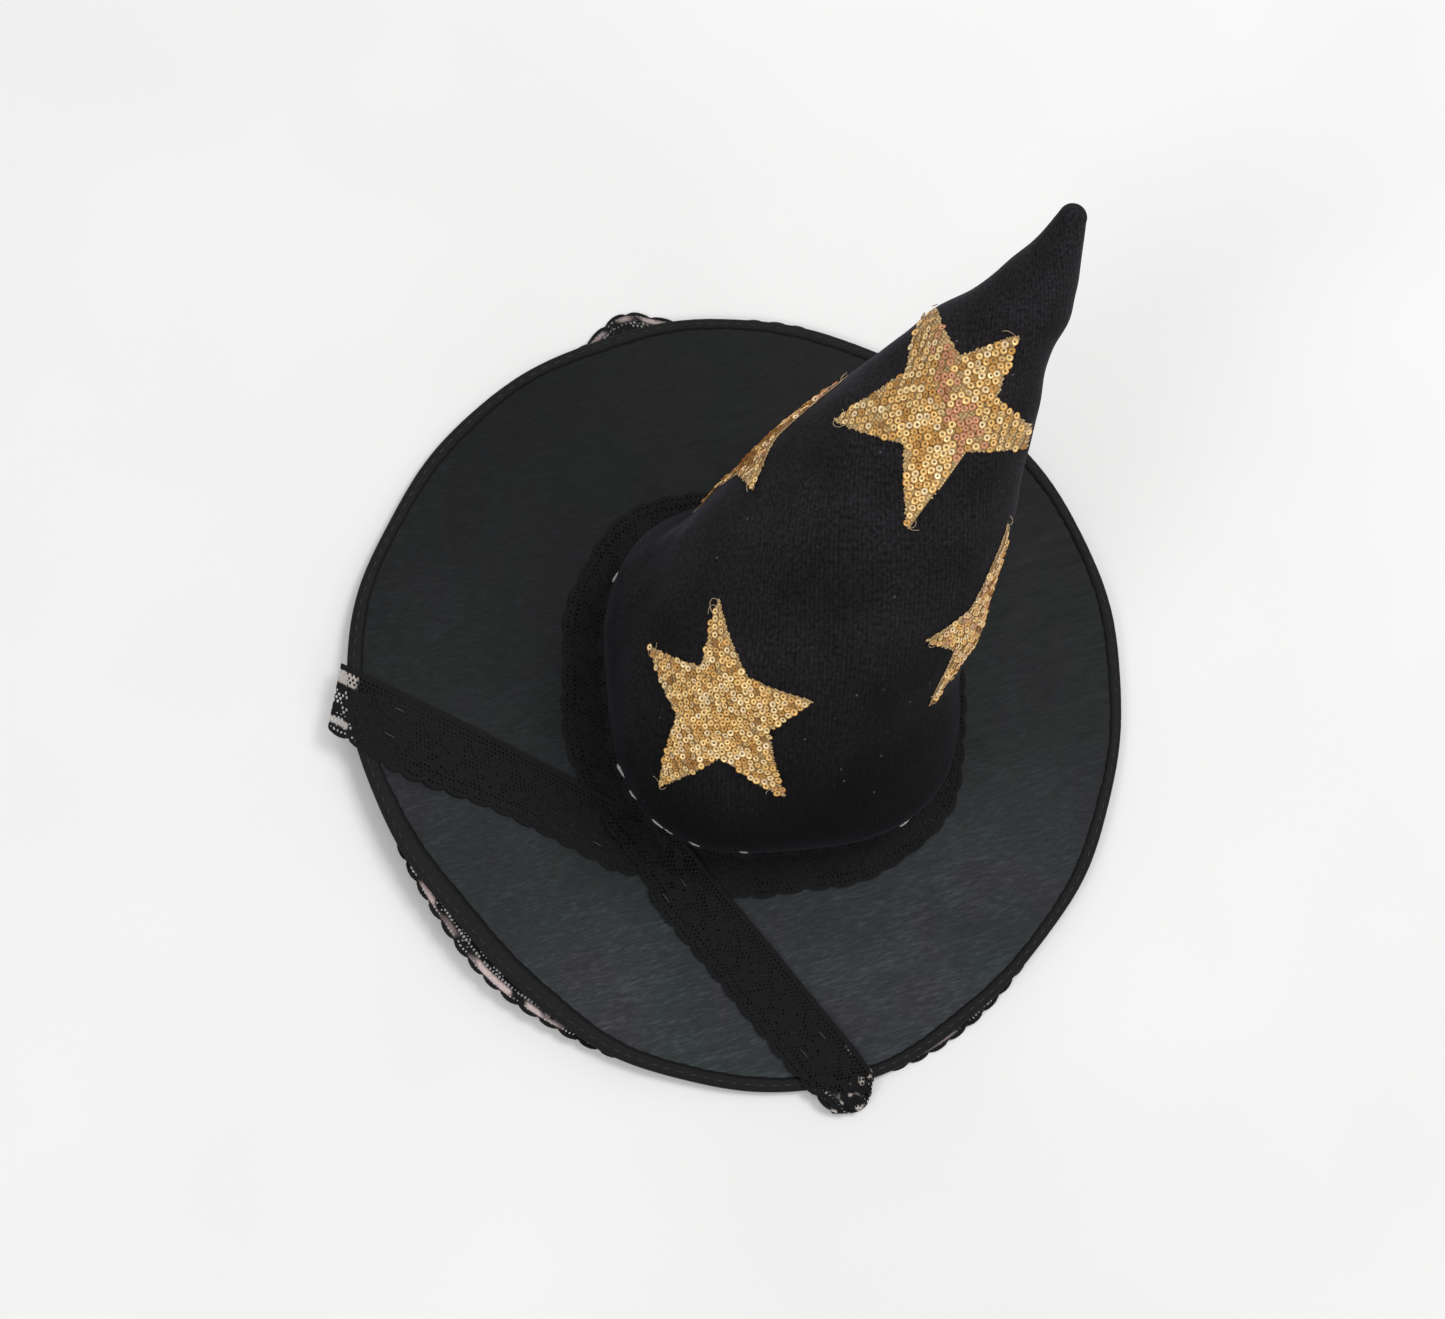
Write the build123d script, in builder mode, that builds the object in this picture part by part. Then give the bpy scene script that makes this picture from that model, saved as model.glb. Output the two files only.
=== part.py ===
from build123d import *
import math
import os

os.makedirs("parts", exist_ok=True)

# Floppy party hat: a round satin brim with a wired hem, a soft leaning crown made of
# layers, a lace ribbon wound round its foot and hand-cut sequin stars.
# Sizes are in millimetres. The origin is the centre of the head opening, on the surface
# that the brim rests on. +Z is up, and the crown leans towards +Y.

# ---- Driving dimensions -------------------------------------------------------------
head_radius = 88.3            # inner face of the sweatband, for a 555 mm head
band_thickness = 1.1          # grosgrain sweatband
band_height = 30.0
band_clearance = 0.2          # sweatband to the cloths around it
lining_thickness = 0.3
interlining_thickness = 0.8
crown_cloth = 1.1             # ribbed velvet with its seam allowance
layer_gap = 0.15              # between two cloths that lie on each other

crown_length = 343.0          # along the crown's middle line, from the rest to the tip
crown_upright = 32.0          # part of that length that stands straight up
tip_radius = 6.0

brim_radius = 200.0           # outside of the hem
brim_centre = (-9.0, -17.0)   # the head opening is cut off the brim's middle
under_cloth = 0.4
stiffener_thickness = 1.4
top_cloth = 0.4
hem_cloth = 0.4
hem_width = 5.0
hem_room = 3.4                # from the hem's outside back to the brim cloths' edges
wire_radius = 0.6
wire_inset = 1.8              # from the hem's outside to the wire's middle
ferrule_wall = 0.35
ferrule_play = 0.12
ferrule_length = 12.0
ferrule_angle = 90.0

edge_lace_thickness = 0.6
edge_lace_hidden = 24.0       # under the brim
edge_lace_reach = 7.0         # past the hem

ribbon_thickness = 0.8
ribbon_width = 33.0
ribbon_flat = 20.0            # how far the wound ribbon lies out over the brim
ribbon_upright = 13.0         # how far it stands up the crown
ribbon_fold = 3.5             # slope between the two
ribbon_clearance = 0.3
left_tail = {"root": (-10.0, -113.0), "angle": 186.0, "overhang": 9.0}
right_tail = {"root": (4.0, -116.0), "angle": -20.0, "overhang": 14.0}

star_radius = 50.0            # middle to tip, measured on the cloth
star_notch_radius = 22.0      # middle to inner corner
star_thickness = 1.6          # net and sequins
star_clearance = 0.3

thread_gap = 0.05             # from a stitch to the cloth under it
seam_stitch = (1.2, 2.2, 0.5)
seam_stitch_pitch = 8.0
hem_stitch = (0.4, 3.5, 0.2)
hem_stitch_pitch = 7.0
hem_stitch_inset = 3.0        # from the hem's outside
tack_stitch = (5.0, 0.6, 0.4)
tack_spacing = 9.0
glue_radius = 1.3
glue_clearance = 0.2
glue_angles = (60, 180, -109, -86, -71, -18)

# Crown outline above its upright wall. Each row: share of the length that is left,
# share of the taper that is left, lean of the middle line in degrees, tilt of the round
# section there, which lags the lean so that the cloth is not folded at the back, and how
# far the middle line wanders along X.
crown_outline = (
    (0.00, 1.00, 0, 0, 0.0),
    (0.09, 0.94, 22, 12, -3.0),
    (0.19, 0.83, 33, 24, -4.0),
    (0.38, 0.67, 41, 36, -3.0),
    (0.57, 0.46, 40, 38, -3.0),
    (0.76, 0.23, 30, 30, 0.0),
    (0.89, 0.09, 20, 20, 1.0),
    (1.00, 0.00, 10, 10, -3.0),
)
# Each star: its row on the crown outline, with a fraction for part of the way to the
# next, the angle round the crown where 0 is +X, and the turn of its first tip.
stars = {
    "star_front_low": (1.9, -99, 46),
    "star_front_high": (4.5, -97, 3),
    "star_left": (3.1, 178, 5),
    "star_right": (2.9, -9, 35),
    "star_back": (2.5, 84, 18),
}

# ---- Sizes that follow --------------------------------------------------------------
band_outer = head_radius + band_thickness
opening_radius = band_outer + band_clearance
lining_outer = opening_radius + lining_thickness
interlining_inner = lining_outer + layer_gap
interlining_outer = interlining_inner + interlining_thickness
shell_inner = interlining_outer + layer_gap
crown_radius = shell_inner + crown_cloth

hem_bottom = edge_lace_thickness + layer_gap
under_bottom = hem_bottom + hem_cloth + layer_gap
stiffener_bottom = under_bottom + under_cloth + layer_gap
top_bottom = stiffener_bottom + stiffener_thickness + layer_gap
brim_top = top_bottom + top_cloth
hem_top = brim_top + layer_gap + hem_cloth
crown_foot = brim_top + layer_gap
cloth_edge = brim_radius - hem_room
wire_ring = brim_radius - wire_inset
wire_height = (hem_bottom + hem_top) / 2

ribbon_inner = crown_radius + ribbon_clearance
ribbon_outer = crown_radius + ribbon_flat
ribbon_bottom = brim_top + ribbon_clearance
ribbon_top = ribbon_bottom + ribbon_upright
tail_bottom = hem_top + ribbon_clearance
tail_top = tail_bottom + ribbon_thickness

brim_plane = Plane(origin=(brim_centre[0], brim_centre[1], 0))


def crown_station(row):
    """Centre, tilt and outer radius of the crown at a row of its outline."""
    whole = min(int(row), len(crown_outline) - 2)
    part_way = row - whole
    rise = crown_length - crown_upright
    centre = Vector(0, 0, crown_upright)
    for low, high in zip(crown_outline[:whole], crown_outline[1 : whole + 1]):
        centre += crown_step(low, high, rise)
    low = crown_outline[whole]
    high = crown_outline[whole + 1]
    centre += crown_step(low, high, rise) * part_way
    taper, tilt, wander = (low[i] + (high[i] - low[i]) * part_way for i in (1, 3, 4))
    centre.X = wander
    return centre, tilt, tip_radius + taper * (crown_radius - tip_radius)


def crown_step(low, high, rise):
    """Way along the crown's middle line between two rows of its outline."""
    middle_lean = math.radians((low[2] + high[2]) / 2)
    length = (high[0] - low[0]) * rise
    return Vector(0, math.sin(middle_lean), math.cos(middle_lean)) * length


def crown_plane(centre, tilt):
    """Plane of one round section of the crown, with its X along the hat's X."""
    turn = math.radians(tilt)
    return Plane(origin=centre, x_dir=(1, 0, 0), z_dir=(0, math.sin(turn), math.cos(turn)))


def crown_faces(radius_at_foot):
    """Faces of the crown at a given radius, from its foot to its closed tip."""
    inset = crown_radius - radius_at_foot
    with BuildPart() as wall:
        with BuildSketch(Plane.XY.offset(crown_foot)):
            Circle(radius_at_foot)
        extrude(amount=crown_upright - crown_foot)
    with BuildPart() as cone:
        for row in range(len(crown_outline)):
            centre, tilt, radius = crown_station(row)
            drawn_in = inset if row == len(crown_outline) - 1 else 0
            with BuildSketch(crown_plane(centre, tilt).offset(-drawn_in)):
                Circle(radius - inset)
        loft()
    side = wall.faces().filter_by(GeomType.CYLINDER)
    cone_and_tip = cone.faces().sort_by(Axis.Z, reverse=True)[:-1]
    return [*side, *cone_and_tip]


def crown_layer(outer_radius, inner_radius):
    """One cloth of the crown, sewn from its two faces and the ring at its foot."""
    with BuildSketch(Plane.XY.offset(crown_foot)) as foot:
        Circle(outer_radius)
        Circle(inner_radius, mode=Mode.SUBTRACT)
    faces = [*crown_faces(outer_radius), *crown_faces(inner_radius), *foot.sketch.faces()]
    return Solid(Shell(faces))


def brim_cloth(bottom, thickness):
    """Round brim blank less the head opening."""
    with BuildPart() as cloth:
        with BuildSketch(brim_plane.offset(bottom)):
            Circle(cloth_edge)
        extrude(amount=thickness)
        with BuildSketch(Plane.XY.offset(bottom)):
            Circle(opening_radius)
        extrude(amount=thickness, mode=Mode.SUBTRACT)
    return cloth.part


def reach_to_rim(tail):
    """Length of a ribbon tail from its root to its overhang past the hem."""
    turn = math.radians(tail["angle"])
    across = tail["root"][0] - brim_centre[0]
    along = tail["root"][1] - brim_centre[1]
    forward = across * math.cos(turn) + along * math.sin(turn)
    rim = brim_radius + tail["overhang"]
    return math.sqrt(forward**2 - across**2 - along**2 + rim**2) - forward


def tail_plane(tail, height):
    """Plane on a ribbon tail's root, with its X running out along the tail."""
    turn = math.radians(tail["angle"])
    origin = (tail["root"][0], tail["root"][1], height)
    return Plane(origin=origin, x_dir=(math.cos(turn), math.sin(turn), 0), z_dir=(0, 0, 1))


def star_outline(turn, bend_radius):
    """Corners of a five-pointed star, narrowed as it wraps round the crown."""
    corners = []
    for index in range(10):
        reach = star_radius if index % 2 == 0 else star_notch_radius
        angle = math.radians(turn + 36 * index)
        wrapped = bend_radius * math.sin(reach * math.cos(angle) / bend_radius)
        corners.append((wrapped, reach * math.sin(angle)))
    return corners


# ---- Brim ---------------------------------------------------------------------------
with BuildPart() as brim_under_fabric:
    add(brim_cloth(under_bottom, under_cloth))
brim_under_fabric.part.label = "brim_under_fabric"
export_step(brim_under_fabric.part, "parts/brim_under_fabric.step")

with BuildPart() as brim_stiffener:
    add(brim_cloth(stiffener_bottom, stiffener_thickness))
brim_stiffener.part.label = "brim_stiffener"
export_step(brim_stiffener.part, "parts/brim_stiffener.step")

with BuildPart() as brim_top_fabric:
    add(brim_cloth(top_bottom, top_cloth))
brim_top_fabric.part.label = "brim_top_fabric"
export_step(brim_top_fabric.part, "parts/brim_top_fabric.step")

# The hem is a strip folded round the rim: two flat legs and a rounded outer wall.
with BuildPart() as brim_hem:
    with BuildSketch(Plane(origin=brim_plane.origin, x_dir=(1, 0, 0), z_dir=(0, -1, 0))):
        with Locations((brim_radius - hem_width / 2, wire_height)):
            Rectangle(hem_width, hem_top - hem_bottom)
        with Locations((brim_radius - hem_cloth - hem_width / 2, wire_height)):
            Rectangle(hem_width, hem_top - hem_bottom - 2 * hem_cloth, mode=Mode.SUBTRACT)
    revolve(axis=Axis(brim_plane.origin, (0, 0, 1)))
    outer_face = brim_hem.faces().sort_by(SortBy.AREA).filter_by(GeomType.CYLINDER)[-1]
    fillet(outer_face.edges().filter_by(GeomType.CIRCLE), radius=hem_cloth * 0.9)
brim_hem.part.label = "brim_hem"
export_step(brim_hem.part, "parts/brim_hem.step")

wire_centre = (brim_centre[0], brim_centre[1], wire_height)
with BuildPart() as brim_wire:
    with Locations(wire_centre):
        Torus(wire_ring, wire_radius)
brim_wire.part.label = "brim_wire"
export_step(brim_wire.part, "parts/brim_wire.step")

# The wire's two ends meet in a short crimped sleeve at the back of the brim.
ferrule_turn = math.radians(ferrule_angle)
ferrule_outward = Vector(math.cos(ferrule_turn), math.sin(ferrule_turn), 0)
ferrule_middle = Vector(wire_centre) + ferrule_outward * wire_ring
ferrule_plane = Plane(origin=ferrule_middle, z_dir=ferrule_outward.rotate(Axis.Z, 90))
with BuildPart() as wire_ferrule:
    with BuildSketch(ferrule_plane.offset(-ferrule_length / 2)):
        Circle(wire_radius + ferrule_play + ferrule_wall)
        Circle(wire_radius + ferrule_play, mode=Mode.SUBTRACT)
    extrude(amount=ferrule_length)
wire_ferrule.part.label = "wire_ferrule"
export_step(wire_ferrule.part, "parts/wire_ferrule.step")

hem_stitch_ring = brim_radius - hem_stitch_inset
hem_stitch_count = int(2 * math.pi * hem_stitch_ring / hem_stitch_pitch)
with BuildPart() as hem_stitches:
    with Locations(brim_plane.offset(hem_top + thread_gap + hem_stitch[2] / 2)):
        with PolarLocations(hem_stitch_ring, hem_stitch_count):
            Box(*hem_stitch)
hem_stitches.part.label = "hem_stitches"
export_step(hem_stitches.part, "parts/hem_stitches.step")

with BuildPart() as brim_edge_lace:
    with BuildSketch(brim_plane):
        Circle(brim_radius + edge_lace_reach)
        Circle(brim_radius - edge_lace_hidden, mode=Mode.SUBTRACT)
    extrude(amount=edge_lace_thickness)
brim_edge_lace.part.label = "brim_edge_lace"
export_step(brim_edge_lace.part, "parts/brim_edge_lace.step")

# ---- Crown --------------------------------------------------------------------------
with BuildPart() as sweatband:
    with BuildSketch(Plane.XY):
        Circle(band_outer)
        Circle(head_radius, mode=Mode.SUBTRACT)
    extrude(amount=band_height)
sweatband.part.label = "sweatband"
export_step(sweatband.part, "parts/sweatband.step")

with BuildPart() as crown_lining:
    add(crown_layer(lining_outer, opening_radius))
crown_lining.part.label = "crown_lining"
export_step(crown_lining.part, "parts/crown_lining.step")

with BuildPart() as crown_interlining:
    add(crown_layer(interlining_outer, interlining_inner))
crown_interlining.part.label = "crown_interlining"
export_step(crown_interlining.part, "parts/crown_interlining.step")

with BuildPart() as crown_shell:
    add(crown_layer(crown_radius, shell_inner))
crown_shell.part.label = "crown_shell"
export_step(crown_shell.part, "parts/crown_shell.step")

# Overcast stitches hold the crown's foot to the brim, hidden under the wound ribbon.
seam_stitch_ring = crown_radius + thread_gap + seam_stitch[0] / 2
seam_stitch_count = int(2 * math.pi * seam_stitch_ring / seam_stitch_pitch)
with BuildPart() as crown_seam_stitches:
    with Locations(Plane.XY.offset(brim_top + thread_gap + seam_stitch[2] / 2)):
        with PolarLocations(seam_stitch_ring, seam_stitch_count):
            Box(*seam_stitch)
crown_seam_stitches.part.label = "crown_seam_stitches"
export_step(crown_seam_stitches.part, "parts/crown_seam_stitches.step")

# ---- Lace ribbon --------------------------------------------------------------------
# One length of ribbon: it stands against the crown, slopes out and lies on the brim.
# Its two ends cross at the front and run out over the hem.
ribbon_profile = (
    (ribbon_inner, ribbon_top),
    (ribbon_inner, ribbon_bottom + ribbon_fold),
    (ribbon_inner + ribbon_fold, ribbon_bottom),
    (ribbon_outer, ribbon_bottom),
    (ribbon_outer, ribbon_bottom + ribbon_thickness),
    (ribbon_inner + ribbon_fold, ribbon_bottom + ribbon_thickness),
    (ribbon_inner + ribbon_thickness, ribbon_bottom + ribbon_fold),
    (ribbon_inner + ribbon_thickness, ribbon_top),
)
with BuildPart() as lace_ribbon:
    with BuildSketch(Plane.XZ):
        with BuildLine():
            Polyline(*ribbon_profile, close=True)
        make_face()
    revolve(axis=Axis.Z)
    for tail in (left_tail, right_tail):
        with BuildSketch(tail_plane(tail, ribbon_bottom)):
            with Locations((reach_to_rim(tail) / 2, 0)):
                Rectangle(reach_to_rim(tail), ribbon_width)
        extrude(amount=tail_top - ribbon_bottom)
    with BuildSketch(brim_plane.offset(ribbon_bottom)):
        Circle(brim_radius + ribbon_width)
        Circle(brim_radius - hem_width - ribbon_width, mode=Mode.SUBTRACT)
    extrude(amount=tail_bottom - ribbon_bottom, mode=Mode.SUBTRACT)
lace_ribbon.part.label = "lace_ribbon"
export_step(lace_ribbon.part, "parts/lace_ribbon.step")

# Thread tacks hold the ribbon where it crosses and where each tail leaves the brim.
with BuildPart() as lace_tacks:
    for tail in (left_tail, right_tail):
        tack_height = tail_top + thread_gap + tack_stitch[2] / 2
        rim_tack = reach_to_rim(tail) - tail["overhang"] - hem_width
        with Locations(tail_plane(tail, tack_height)):
            with GridLocations(0, tack_spacing, 1, 2):
                with Locations((tack_spacing, 0), (rim_tack, 0)):
                    Box(*tack_stitch)
lace_tacks.part.label = "lace_tacks"
export_step(lace_tacks.part, "parts/lace_tacks.step")

# Beads of clear glue sit in the crease between the crown and the ribbon's upper edge.
glue_ring = ribbon_inner + glue_radius
glue_height = ribbon_top + glue_clearance + glue_radius
with BuildPart() as glue_dabs:
    for angle in glue_angles:
        with PolarLocations(glue_ring, 1, start_angle=angle):
            with Locations((0, 0, glue_height)):
                Sphere(glue_radius)
glue_dabs.part.label = "glue_dabs"
export_step(glue_dabs.part, "parts/glue_dabs.step")

# ---- Stars --------------------------------------------------------------------------
# Each star is a patch of sequin cloth that follows the crown's outer face.
star_inner = crown_radius + star_clearance
star_outer = star_inner + star_thickness
star_cloth = crown_layer(star_outer, star_inner)

for name, (row, angle, turn) in stars.items():
    centre, tilt, radius = crown_station(row)
    middle = crown_plane(centre, tilt)
    around = math.radians(angle)
    outward = middle.x_dir * math.cos(around) + middle.y_dir * math.sin(around)
    sideways = middle.y_dir * math.cos(around) - middle.x_dir * math.sin(around)
    star_plane = Plane(origin=centre + outward * radius, x_dir=sideways, z_dir=outward)
    with BuildPart() as star:
        add(star_cloth)
        with BuildSketch(star_plane.offset(-radius)):
            with BuildLine():
                Polyline(*star_outline(turn, radius), close=True)
            make_face()
        extrude(amount=2 * radius, mode=Mode.INTERSECT)
    star.part.label = name
    export_step(star.part, f"parts/{name}.step")
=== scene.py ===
import math

import bpy
import numpy as np
from bpy.props import FloatProperty, IntProperty, PointerProperty
from mathutils import Matrix, Vector
from mathutils.bvhtree import BVHTree


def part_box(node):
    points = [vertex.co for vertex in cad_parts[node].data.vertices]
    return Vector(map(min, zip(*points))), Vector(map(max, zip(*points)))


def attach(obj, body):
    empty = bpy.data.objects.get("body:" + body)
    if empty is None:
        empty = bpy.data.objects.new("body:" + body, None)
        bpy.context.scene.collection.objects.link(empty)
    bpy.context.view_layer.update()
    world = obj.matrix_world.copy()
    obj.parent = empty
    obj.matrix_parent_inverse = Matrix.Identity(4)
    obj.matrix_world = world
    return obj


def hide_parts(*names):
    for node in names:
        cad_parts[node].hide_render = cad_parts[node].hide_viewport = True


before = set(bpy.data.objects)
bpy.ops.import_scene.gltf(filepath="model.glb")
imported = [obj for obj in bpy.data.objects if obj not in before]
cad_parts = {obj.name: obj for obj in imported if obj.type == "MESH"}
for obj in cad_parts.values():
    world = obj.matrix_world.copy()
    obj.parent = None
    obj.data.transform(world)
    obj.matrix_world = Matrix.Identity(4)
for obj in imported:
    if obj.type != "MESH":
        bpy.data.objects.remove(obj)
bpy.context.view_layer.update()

bl_info = {
    "name": "Sequin star party hat",
    "version": (1, 0, 0),
    "blender": (4, 5, 0),
    "location": "3D View > Sidebar > Party hat",
    "description": "Builds the cloth, lace and sequins of a floppy party hat round its frame",
    "category": "Object",
}

CAMERA_PLACE = (-0.0294, -0.3274, 1.1343)   # metres
CAMERA_TILT = math.radians(16)
CAMERA_ROLL = (0.849, 0.528)   # its cosine and sine
CAMERA_LENS = 56.53
# name, place in metres, size in metres and power in watts
SOFTBOXES = (
    ("overhead_softbox", (0.35, 0.75, 1.75), 0.8, 14.5),
    ("front_softbox", (-0.5, -1.3, 1.2), 0.6, 6.5),
    ("side_softbox", (1.6, -0.6, 1.2), 0.5, 2.5),
    ("back_softbox", (-1.3, 1.5, 0.9), 0.6, 5.0),
)
MM = 0.001
BODY = "root"
FLOOR_HALF = 30000             # mm
TURN = 2 * math.pi

# Sizes are in millimetres, in the frame's own axes. The brim's middle comes from the frame.
BRIM_LOW, BRIM_HIGH = (np.array(corner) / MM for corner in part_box("brim_top_fabric"))
BRIM_CENTRE = (BRIM_LOW + BRIM_HIGH)[:2] / 2
CLOTH_EDGE = (BRIM_HIGH[0] - BRIM_LOW[0]) / 2
TOP_HEIGHT = BRIM_HIGH[2]
UNDER_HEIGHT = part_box("brim_under_fabric")[0][2] / MM
STIFFENER_LOW, STIFFENER_HIGH = (corner[2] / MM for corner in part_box("brim_stiffener"))
HEM_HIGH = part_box("brim_hem")[1][2] / MM
WIRE_HEIGHT = sum(corner[2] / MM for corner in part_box("brim_wire")) / 2
BAND_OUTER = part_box("sweatband")[1][0] / MM
BAND_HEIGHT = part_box("sweatband")[1][2] / MM
# the frame's seam stitches stand 1.25 mm out from the crown's foot
CROWN_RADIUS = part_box("crown_seam_stitches")[1][0] / MM - 1.25
CROWN_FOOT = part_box("crown_shell")[0][2] / MM
CROWN_UPRIGHT = 32.0           # height of the crown's upright wall
CROWN_RISE = 311.0             # length of the crown above it
TIP_RADIUS = 6.0
HEM_OVERHANG = 3.4             # from the cloths' edge to the hem's outside
TAPE_FULLNESS = 1.2            # what the hand-cut rim adds to that
HEM_LOW = 0.75                 # height of the hem's underside
HEM_STITCHES = 178
WIRE_INSET = 1.9               # from the rim in to the wire's middle
WIRE_RADIUS = 0.6
SEAM_STITCHES = 72

# Crown outline above its upright wall: share of the length left, share of the taper left,
# lean of the middle line, tilt of the round section, and sideways wander.
CROWN_OUTLINE = (
    (0.00, 1.00, 0, 0, 0.0),
    (0.09, 0.94, 22, 12, -3.0),
    (0.19, 0.83, 33, 24, -4.0),
    (0.38, 0.67, 41, 36, -3.0),
    (0.57, 0.46, 40, 38, -3.0),
    (0.76, 0.23, 30, 30, 0.0),
    (0.89, 0.09, 20, 20, 1.0),
    (1.00, 0.00, 10, 10, -3.0),
)
TIP_DOME = 5.2                 # how far the closed tip stands past the outline's end
# Where the crown is pushed out or in: mm, then the angle and distance up, each with its spread.
CROWN_DENTS = (
    (-4.2, 158, 19, 66, 22),
    (-2.4, 205, 16, 58, 26),
    (-2.0, 322, 17, 74, 30),
    (1.5, 268, 26, 150, 40),
    (-2.6, 215, 20, 236, 15),
    (2.2, 20, 32, 286, 13),
    (-1.6, 300, 30, 297, 6),
)
# Where the rim stands out or in, and where the edge lace shows more: mm, angle, spread.
RIM_SWELLS = ((-8.0, 250, 20), (9.0, 316, 26), (3.0, 66, 22), (2.0, 205, 16))
EDGE_LACE_SWELLS = (
    (9.5, 258, 21), (7.0, 334, 15), (4.2, 116, 15), (12.5, 138, 5.5), (2.2, 55, 14),
    (2.0, 190, 12),
)


# ---- Shapes shared by the pieces ----------------------------------------------------
def bump_at(value, middle, width):
    """Soft bell curve, 1 at middle and near 0 two widths away."""
    return np.exp(-(((value - middle) / width) ** 2))


def angle_bump(angle, middle_deg, width_deg):
    """The same round a circle, with the middle and width in degrees."""
    away = (np.degrees(angle) - middle_deg + 180) % 360 - 180
    return np.exp(-((away / width_deg) ** 2))


def smooth_step(value, low, high):
    t = np.clip((value - low) / (high - low), 0, 1)
    return t * t * (3 - 2 * t)


def unevenness(seed, shortest, longest, count=14):
    """Smooth random waves in space, with wavelengths between two lengths in mm."""
    rng = np.random.default_rng(seed)
    way = rng.normal(size=(count, 3))
    way /= np.linalg.norm(way, axis=1)[:, None]
    way *= (TURN / rng.uniform(shortest, longest, count))[:, None]
    phase = rng.uniform(0, TURN, count)
    return lambda points: np.sin(points @ way.T + phase).sum(-1) / math.sqrt(count)


def spline_through(knots, values, at):
    """Natural cubic spline through a few rows of values."""
    knots, values = np.asarray(knots, float), np.asarray(values, float)
    step = np.diff(knots)
    size = len(knots)
    matrix = np.eye(size)
    right = np.zeros((size, values.shape[1]))
    slope = np.diff(values, axis=0) / step[:, None]
    for i in range(1, size - 1):
        matrix[i, i - 1 : i + 2] = step[i - 1], 2 * (step[i - 1] + step[i]), step[i]
        right[i] = 6 * (slope[i] - slope[i - 1])
    bend = np.linalg.solve(matrix, right)
    i = np.clip(np.searchsorted(knots, at, "right") - 1, 0, size - 2)
    a = ((knots[i + 1] - at) / step[i])[:, None]
    b = 1 - a
    curve = (a**3 - a) * bend[i] + (b**3 - b) * bend[i + 1]
    return a * values[i] + b * values[i + 1] + curve * (step[i] ** 2)[:, None] / 6


def crown_rows():
    """Distance along the crown and its centre, tilt and radius at each outline row."""
    centre = np.array([0.0, 0.0, CROWN_FOOT])
    rows = [(0.0, *centre, 0.0, CROWN_RADIUS)]
    centre = np.array([0.0, 0.0, CROWN_UPRIGHT])
    before, far = None, 0.0
    for row in CROWN_OUTLINE:
        if before:
            lean = math.radians((before[2] + row[2]) / 2)
            length = (row[0] - before[0]) * CROWN_RISE
            centre = centre + np.array([0, math.sin(lean), math.cos(lean)]) * length
        here = np.array([row[4], centre[1], centre[2]])
        far += np.linalg.norm(here - np.array(rows[-1][1:4]))
        radius = TIP_RADIUS + row[1] * (CROWN_RADIUS - TIP_RADIUS)
        rows.append((far, *here, math.radians(row[3]), radius))
        before = row
    return np.array(rows)


ROWS = crown_rows()
CROWN_LENGTH = ROWS[-1, 0]
crown_waves = unevenness(3, 45, 120)
crown_creases = unevenness(8, 14, 34)


def squareness(angle, far):
    """The foot is pulled slightly square, which dies out up the crown."""
    return 1 + 0.055 * np.cos(4 * (angle + math.radians(8))) * (1 - smooth_step(far, 25, 105))


def foot_radius(angle):
    return CROWN_RADIUS * squareness(angle, 0)


def crown_points(far, angle, inset=0.0):
    """Points on the crown's cloth. far is the distance up from the foot."""
    far, angle = np.broadcast_arrays(np.asarray(far, float), np.asarray(angle, float))
    row = spline_through(ROWS[:, 0], ROWS[:, 1:], np.clip(far, 0, CROWN_LENGTH).ravel())
    row = row.reshape(*far.shape, 5)
    past = np.clip(far - CROWN_LENGTH, 0, TIP_DOME)
    tilt = row[..., 3]
    radius = row[..., 4] - inset * smooth_step(CROWN_LENGTH + TIP_DOME - far, 0, 8)
    radius = radius * squareness(angle, far) * np.sqrt(np.clip(1 - (past / TIP_DOME) ** 2, 0, 1))
    radius = radius + 2.2 * bump_at(far, 42, 26)          # fullness above the ribbon
    radius = radius * (1 - 0.05 * bump_at(far, 256, 16) * np.cos(angle - 0.4))
    along = np.stack([0 * tilt, np.sin(tilt), np.cos(tilt)], -1)
    across = np.stack([0 * tilt, np.cos(tilt), -np.sin(tilt)], -1)
    out = np.cos(angle)[..., None] * np.array([1.0, 0, 0]) + np.sin(angle)[..., None] * across
    base = row[..., :3] + along * past[..., None]
    points = base + out * radius[..., None]
    free = smooth_step(far, 18, 60) * smooth_step(CROWN_LENGTH + 4 - far, 0, 50)
    push = crown_waves(points) * 1.1 * free
    push = push + crown_creases(points) * 0.28 * free
    # Folds where the leaning crown is squeezed at the back of its foot.
    squeezed = angle_bump(angle, 92, 48) * smooth_step(far, 16, 34)
    squeezed = squeezed * (1 - smooth_step(far, 96, 128))
    ripple = np.sin(TURN * far / 19 + 1.2 * np.sin(3 * angle) + 0.8 * np.cos(angle * 2))
    push = push + 2.6 * squeezed * ripple
    for depth, side, side_spread, up, up_spread in CROWN_DENTS:
        push = push + depth * angle_bump(angle, side, side_spread) * bump_at(far, up, up_spread)
    # The seam down the back draws the cloth in.
    push = push - 0.9 * angle_bump(angle, 90, 1.6) * (radius > 12)
    return points + out * push[..., None]


def rim_radius(angle):
    """The hand-cut rim is a little egg-shaped, and drawn in where its front left curls."""
    reach = CLOTH_EDGE + HEM_OVERHANG + TAPE_FULLNESS - 4 * np.cos(angle) + 9 * np.sin(angle)
    for swell, side, spread in RIM_SWELLS:
        reach = reach + swell * angle_bump(angle, side, spread)
    return reach + 0.5 * np.sin(angle * 9 + 1) + 0.35 * np.sin(angle * 17)


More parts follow.
